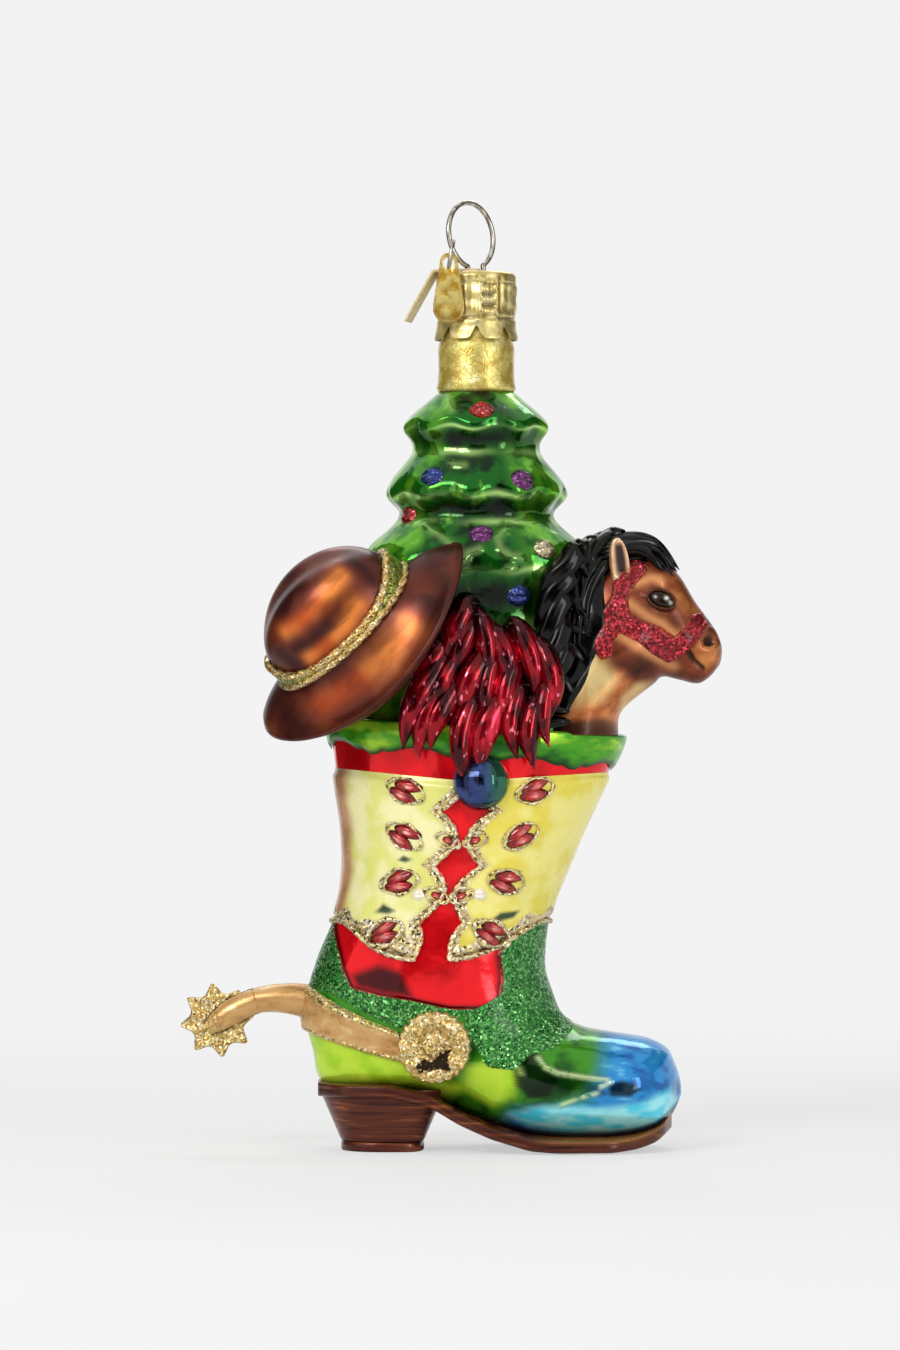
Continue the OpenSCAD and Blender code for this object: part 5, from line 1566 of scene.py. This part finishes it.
def horse_coat(t):
    streak = t.noise(4, 4.0, stretch=(0.6, 1, 1), rough=0.6, lean=30)
    colour = streak.shades((0.34, 0.52), (0.56, 0.74), rgb("4a1e10"), rgb("7e3a20"), rgb("a2562e"))
    colour = t.mask("tan").mix(colour, streak.step(0.36, 0.62).mix(rgb("a85a2c"), rgb("d88c50")))
    # Painted highlights: cream on the neck, gold along the jaw, the pouch and the brow.
    cream = t.noise(3, 3.0, stretch=(1, 1, 0.5)).step(0.35, 0.65).mix(rgb("d8a45c"), rgb("ecd090"))
    colour = t.mask("cream").mix(colour, cream)
    colour = t.mask("gold").mix(colour, rgb("dc9460"))
    # Dark paint at nostril, mouth and eye, and painted shade under the jaw, under the eye and at the foot of
    # the neck.
    colour = t.mask("dark").mix(colour, rgb("1a0a06"))
    grain = t.noise(0.4, 2.0)
    return t.coat(colour, Metallic=0.35, Roughness=0.24 + 0.16 * grain, Specular_IOR_Level=0.2,
                  Coat_Weight=0.12, Coat_Roughness=0.1, Normal=t.bump(streak + 0.15 * grain, 0.3, 0.4))


v, a = grid(210, 200)
s = HORSE_END * v
base = horse_point(s, a)
side = np.abs(sind(a)) ** 0.5
mouth = strokes(base, [MOUTH], 0.45)
lines = [(0.75, spot(base, CHEEK, 2.0)), (-0.55, spot(base, EYE, 0.7)), (-0.9, spot(base, NOSTRIL, 0.45)),
         (0.35, strokes(base, [BROW], 1.0)), (-0.55, mouth),
         (0.45, bell(outline_distance(base, NOSTRIL), -0.9, 0.6))]
shape = np.sum([height * mark for height, mark in lines], axis=0) * side
rings = horse_point(s, a, shape)
nose = rings[-1].mean(axis=0) + [0.12, 0, 0]
rings = np.concatenate([rings, [blend(rings[-1], nose, t) for t in CLOSING]])
cream = np.maximum(spot(base, NECK_HIGHLIGHT, 1.8), 0.8 * spot(base, THROAT_LIGHT, 0.9))
tan = np.maximum(0.8 * spot(base, FOREHEAD, 1.2), 0.8 * spot(base, MUZZLE, 1.0))
# Dark paint at nostril, mouth and eye; painted shade under the jaw, under the eye and at the foot of the
# neck.
dark = [spot(base, NOSTRIL, 0.35), mouth, 0.8 * spot(base, EYE, 0.8), 0.75 * spot(base, THROAT_SHADE, 1.4),
        0.85 * spot(base, NECK_FOOT_SHADE, 0.8), 0.45 * spot(base, UNDER_EYE_SHADE, 0.9)]
masks = {"cream": cream * (1 - ease(s, 3.4, 4.2)), "tan": np.maximum(spot(base, TAN_PATCH, 1.8), tan),
         "gold": strokes(base, (JAW, POUCH, BROW), 0.9) * side, "dark": np.max(dark, axis=0) * side}
head = Clay()
head.skin(rings, **{k: np.pad(m, TAIL, "edge") for k, m in masks.items()})
head.piece("horse_head_skin", finish("horse_bronze", horse_coat), ["horse_head"], "horse_brown")

# %% [markdown]
# The bridle is red glitter glued broadly over cheek, eye and nose. Straps could be laid on as bands, but
# it is brushed on, so it is a skin that stands proud of the head inside its outline and dips under the
# coat outside it.

# %% Bridle
BRIDLE = [(634, 559), (648, 567), (640, 580), (631, 590), (626, 602), (628, 615), (643, 622), (659, 628),
          (672, 637), (682, 628), (690, 615), (702, 613), (707, 628), (696, 642), (680, 657), (666, 663),
          (650, 654), (634, 642), (618, 635), (612, 643), (610, 658), (599, 660), (589, 647), (591, 631),
          (599, 613), (610, 596), (612, 580), (621, 569)]


def bridle_red(t):
    dust = glitter(t, rgb("3c040a"), rgb("800a14"), rgb("d83c50"), 0.36)
    line = glitter(t, rgb("5c2210"), rgb("9c4620"), rgb("dc9a58"), 0.3)
    return t.mask("edge").over(dust, line)


glued = spot(base, BRIDLE, 0.45) * (1 - spot(base, EYE, 0.6)) * ease(np.abs(sind(a)), 0.12, 0.3)
bridle = Clay()
bridle.skin(horse_point(s, a, shape * 0.6 - 0.35 + 0.85 * glued), start=False, end=False, keep=glued > 0.02,
            edge=bell(glued, 0.62, 0.2))
red_glitter = finish("bridle_red_glitter", bridle_red)
bridle.piece("bridle_glitter", red_glitter, ["horse_bridle"], "bridle_red", sheet=True)

# %% [markdown]
# Each eye is a drop of black enamel between two painted lids, with small painted highlights in white, which
# stay where they are in every view. The drop is a low dome with drawn out corners, since a ball would stare.

# %% Eyes
EYE_AT = 5.15
EYE_TURN = 77
EYE_HALF = (2.2, 1.35)
GLINTS = [(1.0, 0.75, 0.35, 0.34), (0.25, -1.1, -0.1, 0.3), (0.4, 1.7, -0.15, 0.35)]


def eye_paint(t):
    iris = t.noise(0.5, 2.0).step(0.4, 0.6).mix(rgb("0c0604"), rgb("2a150a"))
    # Painted highlights in white on the eye.
    colour = t.mask("glint").mix(iris, rgb("f4efe2"))
    colour = t.mask("lid").mix(colour, t.noise(0.6).mix(rgb("2a1208"), rgb("6a3818")))
    return t.coat(colour, Metallic=0.1, Roughness=0.14 + 0.1 * t.noise(0.8), Specular_IOR_Level=0.2,
                  Coat_Weight=0.15, Normal=t.bump(t.noise(0.6), 0.1, 0.05))


k, turn = grid(24, 64)
wide = k * EYE_HALF[0] * boxy(cosd(turn), 1.15)
tall = k * EYE_HALF[1] * sind(turn)
high = 0.95 * np.sqrt(np.clip(1 - k ** 2, 0, 1))
glint = sum(share * bell(np.hypot(wide - x, tall - y), 0, size) for share, x, y, size in GLINTS)
sweep = np.linspace(-12, 192, 60)
eyes = Clay()
for side in (-1, 1):
    at = horse_point(EYE_AT, side * EYE_TURN, -0.2)
    out = unit(horse_point(EYE_AT, side * EYE_TURN, 1.0) - at)
    ahead = np.array([0.93, 0.0, -0.37])
    ahead = unit(ahead - out * np.dot(out, ahead))
    up = np.cross(out, ahead)
    up = up if up[2] > 0 else -up
    ball = at + wide[..., None] * ahead + tall[..., None] * up + high[..., None] * out
    eyes.skin(ball[::-1], glint=np.clip(glint, 0, 1)[::-1])
    for bulge, sign in ((0.25, 1), (0.2, -1)):
        path = at + np.outer(2.45 * boxy(cosd(sweep), 1.1), ahead) + np.outer(sign * 1.55 * sind(sweep), up)
        path = path + np.outer(0.15 + bulge * sind(np.clip(sweep, 0, 180)), out)
        eyes.skin(tube_rings(path, 0.1 + 0.16 * np.clip(sind(sweep), 0, 1), 10), lid=1.0)
eyes.piece("horse_eye_balls", finish("eye_enamel", eye_paint), ["horse_eyes"], "eye_black")

# %% [markdown]
# The ears are small leaves, cupped towards the front and dark inside. A cone would be round, so each leaf
# is a stack of rings whose front is pushed in.

# %% Ears
EAR_AT = 4.35
EAR_TURN = 50
EAR_H = 8.6
EAR_SPLAY = 14
EAR_LEAN = 7


def ear_paint(t):
    streak = t.noise(1.6, 3.0, stretch=(1, 1, 0.3))
    colour = streak.step(0.35, 0.6).mix(rgb("c08858"), rgb("eec49a"))
    colour = t.mask("cup").mix(colour, rgb("30160a"))
    return t.coat(colour, Metallic=0.5, Roughness=0.24 + 0.14 * streak, Coat_Weight=0.4,
                  Normal=t.bump(streak, 0.3, 0.25))


ears = Clay()
f, turn = grid(40, 48)
size = 1.95 * np.sqrt(np.clip(1 - f ** 2, 0.0004, 1)) * (0.72 + 0.55 * f)
for side in (-1, 1):
    front = ease(cosd(turn - side * 76), 0.45, 0.95)
    hollow = front * ease(f, 0.12, 0.35) * (1 - ease(f, 0.8, 0.98))
    x = size * cosd(turn) * (1 - 0.3 * hollow)
    y, z = swung(0.72 * size * sind(turn) * (1 - 0.95 * hollow), f * EAR_H - 2, -side * EAR_SPLAY)
    x, z = swung(x, z, EAR_LEAN)
    root = horse_point(EAR_AT, side * EAR_TURN)
    ears.skin(root + np.stack([x, y, z], -1), cup=hollow * ease(front, 0.4, 0.9))
ears.piece("horse_ear_leaves", finish("ear_gold_paint", ear_paint), ["horse_ears"], "ear_gold")

# %% [markdown]
# The mane is a heap of black lacquered locks. A ridged bed carries it; over that lie separate waved
# locks, thick at the crest and drawn to a point at the cheek, each a tapered tube. Strands of hair would
# be too fine: the real mane is moulded glass, and a few fat locks catch the same lights.

# %% Mane and forelock
MANE_T = 3.6
MANE_HALF = 84
FORELOCK_HALF = 42
FALLING = [(17, 33.5, 11, 25), (16, 29.5, 9.4, 20.5), (15, 25.5, 9, 15.5), (14.6, 21.5, 10, 11),
           (14.8, 17, 11.6, 7.5)]


def mane_black(t):
    strand = t.noise(1.1, 3.0, stretch=(0.5, 1, 0.5))
    colour = strand.step(0.4, 0.7).mix(rgb("030202"), rgb("100c0a"))
    return t.coat(colour, Metallic=0.0, Roughness=0.12 + 0.12 * strand, Specular_IOR_Level=0.14,
                  Coat_Weight=0.2, Coat_Roughness=0.04, Normal=t.bump(strand, 0.3, 0.3))


def lock(path, fat, sides, twist=0.25, flat=0.9, depth=0.1):
    """One tapered lock with five strands."""
    mane.skin(tube_rings(path, fat, sides, 5, twist, flat, depth))


mane = Clay()
f, u = grid(90, 81, wrap=False)
ridge = 0.35 * cosd(150 * u + 900 * f) + 0.25 * cosd(80 * u - 1500 * f)
height = -0.3 + (0.1 + 0.62 * MANE_T * (1 - 0.8 * u ** 2)) * ease(1 - np.abs(u), 0, 0.12)
height = height + ridge * (1 - u ** 6)
mane.skin(horse_point(blend(0.9, 4.72, f), blend(MANE_HALF, 34, ease(f, 0.6, 0.95)) * u, height), wrap=False)
f, u = grid(50, 61, wrap=False)
height = -0.3 + (0.1 + 0.5 * MANE_T * (1 - 0.8 * u ** 2)) * ease(1 - np.abs(u), 0, 0.15)
ragged = 5.6 + 0.25 * cosd(900 * u)
mane.skin(horse_point(blend(4.4, ragged, f), FORELOCK_HALF * u, height * ease(1 - f, 0, 0.15)), wrap=False)
t = np.linspace(0, 1, 60)
taper = np.sqrt(np.clip(1 - t ** 3, 0.002, 1))
for side in (-1, 1):
    for i in range(12):
        long = 1.0 if i % 2 == 0 else 0.8
        wave = 0.16 * np.sin(2 * np.pi * (1.2 * t + 0.37 * i)) * t
        s = 1.35 + 2.7 * i / 11 - (0.9 - 0.35 * i / 11) * t * long + wave
        a = side * (-14 + (100 - 2.4 * i) * t * long)
        u = np.clip(np.abs(a) / MANE_HALF, 0, 1.1)
        lift = MANE_T * (1 - 0.8 * u ** 2) * 0.8 + 0.2 + (0.4 if i % 2 else 0.0)
        fat = (1.75 - 0.15 * (i % 3)) * taper * ease(t, -0.25, 0.12)
        lock(horse_point(np.maximum(s, 0.3), a, lift), fat, 16, flat=0.85)
    for i, (x0, h0, x1, h1) in enumerate(FALLING):
        start = np.array([STEM_X + x0, HORSE_AT[1] + side * 8.4, BOOT_H + h0])
        end = np.array([STEM_X + x1, HORSE_AT[1] + side * 8.4, BOOT_H + h1])
        sway = 1.1 * np.sin(2 * np.pi * (1.1 * t + 0.3 * i)) * t * (1 - 0.4 * t)
        path = blend(start, end, t[:, None]) + np.outer(sway, (0.7, 0, -0.7))
        path = path + np.outer(sind(180 * t), (0, side, 0))
        lock(path, 2.1 * taper * ease(t, -0.3, 0.15), 18, twist=0.2, flat=1.0)
    for i in range(5):
        s = 4.66 - 0.17 * i - (0.72 + 0.07 * i) * t + 0.07 * np.sin(7 * t + 2 * i) * t
        a = side * (-10 + (50 + 5 * i) * t)
        lift = (2.9 - 0.2 * (i % 2)) * (1 - 0.5 * t * t)
        lock(horse_point(s, a, lift), 1.5 * taper * ease(t, -0.2, 0.15), 16)
    for i in range(4):
        s = 4.32 - 0.08 * i - (1.5 + 0.22 * i) * t + 0.06 * np.sin(8 * t + 2 * i)
        a = side * (34 - 5 * i + (30 + 5 * i) * t)
        fat = 1.15 * np.clip(1 - t ** 3, 0.02, 1) ** 0.6 * ease(t, -0.1, 0.2)
        lock(horse_point(s, a, 1.3 + 0.3 * (i % 2)), fat, 14)
    for i in range(6):
        s = 4.15 + (2.0 - 0.1 * i - 0.12 * (i % 2)) * t + 0.06 * np.sin(6 * t + i)
        a = side * (3 + 5.5 * i) + side * (7 * np.sin(5.4 * t + 1.9 * i) * t + 8 * t * t)
        u = np.clip(np.abs(a) / FORELOCK_HALF, 0, 1.15)
        lift = 0.55 * MANE_T * (1 - 0.75 * u ** 2) * (1 - 0.6 * t) + 0.3
        fat = 1.4 * np.clip(1 - t ** 2.4, 0.03, 1) ** 0.75 * ease(t, -0.05, 0.2)
        lock(horse_point(s, a, lift), fat, 14, twist=0.2, flat=0.8, depth=0.08)
mane.piece("mane_locks", finish("mane_lacquer", mane_black), ["horse_mane"], "mane_black")

# %% [markdown]
# A bunch of chili peppers fills the front. Each is a curved pod, fat at the shoulder and drawn to a point,
# with a small crinkled cap and stalk. One pod could be copied and turned, but then all would curve alike;
# each has its own two ends here. Dark red lacquer over silver gives the hot pink lights, helped by small
# painted highlights in pink, and painted shade darkens each pod towards its stalk, where the pods crowd.

# %% Peppers
POD_R = 2.4
CALYX = np.array([0.86, 0.9, 0.84, 0.72, 0.58, 0.44, 0.34, 0.28, 0.25, 0.2])
PEPPERS = [(-4.5, 16, -12.3, -0.5, 0.95), (-2.4, 11, -7.8, -0.5, 0.9), (0.3, 9.5, -1.6, -6.5, 1),
           (5.4, 9.5, 0.6, -4.6, 1.05), (7.8, 11, 6.8, -2, 0.9), (10.8, 9.5, 9.7, -3.8, 0.9),
           (-1, 25, -4, 12.5, 0.9), (0, 23, 0.3, 8, 0.95), (2.3, 20.5, 5, 8, 1), (6, 21.5, 9.5, 7, 0.9),
           (-5, 18, -10, 8, 0.85), (10.2, 18, 12.2, 4.5, 0.85), (2.3, 16.5, -2.4, 4.5, 0.95),
           (-0.2, 21.5, -3.2, 10.5, 0.85), (3.6, 16, 2.4, 3.5, 0.85), (-3, 15.5, -6.5, 5, 0.85),
           (-4.6, 11.5, -9.8, -2.4, 0.8), (12.4, 12, 12.2, 0, 0.8), (7, 15, 5.2, 3, 0.85)]
POD = np.array([[0, 0.35], [0.05, 0.72], [0.14, 0.94], [0.4, 1.0], [0.6, 0.85], [0.78, 0.55], [0.92, 0.24],
                [1, 0.03]])


def hung(x, height):
    """A place on the front of the bunch, by its height over the boot."""
    y = np.interp(height, [-7, 2, 8, 26], [-17.7, -17.3, -15.4, -15.8])
    return np.array([STEM_X + x, y, BOOT_H + height])


def pepper_red(t):
    pool = t.noise(2.6, 3.0, stretch=(1.2, 1, 0.45))
    colour = pool.shades((0.36, 0.58), (0.6, 0.74), rgb("3a030c"), rgb("a00a1c"), rgb("ec2c48"))
    # Small painted highlights in pink, scattered by noise.
    colour = t.noise(1.0, 1.0, stretch=(1.4, 1, 0.6)).step(0.66, 0.74).mix(colour, rgb("ff8aa0"))
    # Painted shade towards each pod's stalk, where the pods crowd.
    colour = t.mask("root").mix(colour, rgb("140104"))
    colour = t.mask("stalk").mix(colour, t.noise(0.8).mix(rgb("1c0508"), rgb("2a1c0e")))
    return lacquer(t, colour, rough=0.07)


t = np.linspace(0, 1, 48)
pod = np.interp(t, POD[:, 0], POD[:, 1])
peppers = Clay()
for x0, h0, x1, h1, share in PEPPERS:
    start = hung(x0, h0)
    end = hung(x1, h1)
    bend = np.array([0.12 * (start[2] - end[2]) * np.sign(x1 - x0), -1, 0])
    path = blend(start, end, t[:, None]) + np.outer(sind(180 * t), bend)
    fat = np.convolve(np.pad(POD_R * share * pod, 2, "edge"), np.ones(5) / 5, "valid")
    # Painted shade along the first part of each pod.
    root = 0.85 * (1 - ease(t, 0.08, 0.4))
    peppers.skin(tube_rings(path, fat, 28, 3, 0.02, 1.0, 0.05), root=root[:, None])
    calyx = start + np.outer(np.linspace(0.9, -0.5, len(CALYX)), unit(end - start))
    peppers.skin(tube_rings(calyx, POD_R * share * CALYX, 20, 5, 0.0, 1.0, 0.1), stalk=1.0)
peppers.piece("pepper_bunch", finish("pepper_lacquer", pepper_red), ["chili_peppers"], "chili_red")

# %% [markdown]
# The floor is a pale disc that melts into a pale room towards its rim. A plane to the horizon would show
# an edge in the glass, so the disc fades out by a number that rides on its points. Most of the pale that
# the camera sees is its own glow, and the rest is matt paint that takes the ornament's shadow.

# %% Floor
PALE = 0.896
PALE_COLOUR = (PALE, PALE, PALE, 1)
FLOOR_R = 0.42
FLOOR_X = 0.016


def floor_paint(t):
    speck = t.noise(30, 2.0).mix(PALE_COLOUR, (PALE * 0.985, PALE * 0.985, PALE * 0.985, 1))
    matt = t.coat(speck, Roughness=0.9, Specular_IOR_Level=0.0)
    glow = t.node("ShaderNodeEmission", {}, {"Color": PALE_COLOUR, "Strength": 1.0})
    clear = t.node("ShaderNodeBsdfTransparent")
    seen = t.node("ShaderNodeLightPath")
    return t.mask("fade").over(clear, (seen * 0.6).over(matt, glow))


r, a = grid(24, 96)
r = blend(0.001, 1, r).ravel()
a = a.ravel()
points = np.stack([FLOOR_X + FLOOR_R * r * cosd(a), FLOOR_R * r * sind(a), 0 * r], -1)
ground = bpy.data.meshes.new("floor")
ground.from_pydata(points.tolist(), [], quads_between(24, 96).tolist())
carry(ground, "fade", 1 - ease(r, 0.25, 0.97))
ground.materials.append(finish("pale_floor", floor_paint))
floor = put("floor", ground)
print("floor points:", len(points))

# %% [markdown]
# One broad soft key stands at the upper left, a fill at the right and a strip behind. A mirror shows its
# whole surroundings, so dark cards beside the ornament give the silvered glass the dark contours that a
# photographer's flags give. Only reflections see them.

# %% Lamps and flags
AIM = (0.015, 0, 0.08)
CARD_BOW = 0.004


def lamp(name, place, size, watts):
    """A soft box that looks at the middle of the ornament."""
    light = bpy.data.lights.new(name, "AREA")
    light.shape = "RECTANGLE"
    light.size = size[0]
    light.size_y = size[1]
    light.energy = watts
    made = put(name, light)
    made.location = place
    way = np.array(AIM, float) - np.array(place, float)
    flat = math.hypot(way[0], way[1])
    made.rotation_euler = (math.atan2(flat, -way[2]), 0, math.atan2(way[1], way[0]) - math.pi / 2)
    print(name, "watts:", watts)


def flag(name, place, size, turned):
    """A dark card, bowed a little, that only reflections see."""
    steps = np.linspace(-1, 1, 5)
    points = [(size[0] / 2 * u, CARD_BOW * (1 - u * u), size[1] / 2 * w) for w in steps for u in steps]
    mesh = bpy.data.meshes.new(name)
    mesh.from_pydata(points, [], quads_between(5, 5, wrap=False)[:, ::-1].tolist())
    mesh.materials.append(dark_card)
    made = put(name, mesh)
    made.location = place
    made.rotation_euler = (0, 0, math.radians(turned))
    made.visible_camera = False
    made.visible_diffuse = False
    made.visible_shadow = False


def card_black(t):
    return t.coat(t.noise(20).mix(rgb("101010"), rgb("1c1c1c")), Roughness=0.9)


dark_card = finish("dark_card", card_black)
flag("left_flag", (-0.20, 0.12, 0.12), (0.36, 0.40), 90)
flag("right_flag", (0.23, 0.12, 0.23), (0.36, 0.24), -90)
flag("front_flag", (0.05, -1.15, 0.10), (0.9, 0.7), 0)
lamp("key", (-0.26, -0.42, 0.36), (0.22, 0.22), 1.35)
lamp("fill", (0.36, -0.40, 0.14), (0.10, 0.34), 0.6)
lamp("back", (0.05, 0.34, 0.42), (0.36, 0.12), 0.5)

# %% [markdown]
# The room is pale to the camera, to mirrors and to clear glass, and dimmer as a light. A brighter room would
# give the same white, but it would wash the lacquer out.

# %% Room
world = bpy.data.worlds.new("room")
bpy.context.scene.world = world
world.use_nodes = True
world.node_tree.nodes.clear()
room = Tone(world.node_tree)
seen = room.node("ShaderNodeLightPath")
rays = seen.other("Is Camera Ray") + seen.other("Is Glossy Ray") + seen.other("Is Transmission Ray")
dim = room.node("ShaderNodeBackground", {}, {"Color": (1, 1, 1, 1), "Strength": 0.55})
pale = room.node("ShaderNodeBackground", {}, {"Color": PALE_COLOUR, "Strength": 1.0})
out = world.node_tree.nodes.new("ShaderNodeOutputWorld")
room.tree.links.new(rays.over(dim, pale).socket, out.inputs["Surface"])
bpy.context.scene.view_settings.view_transform = "Standard"
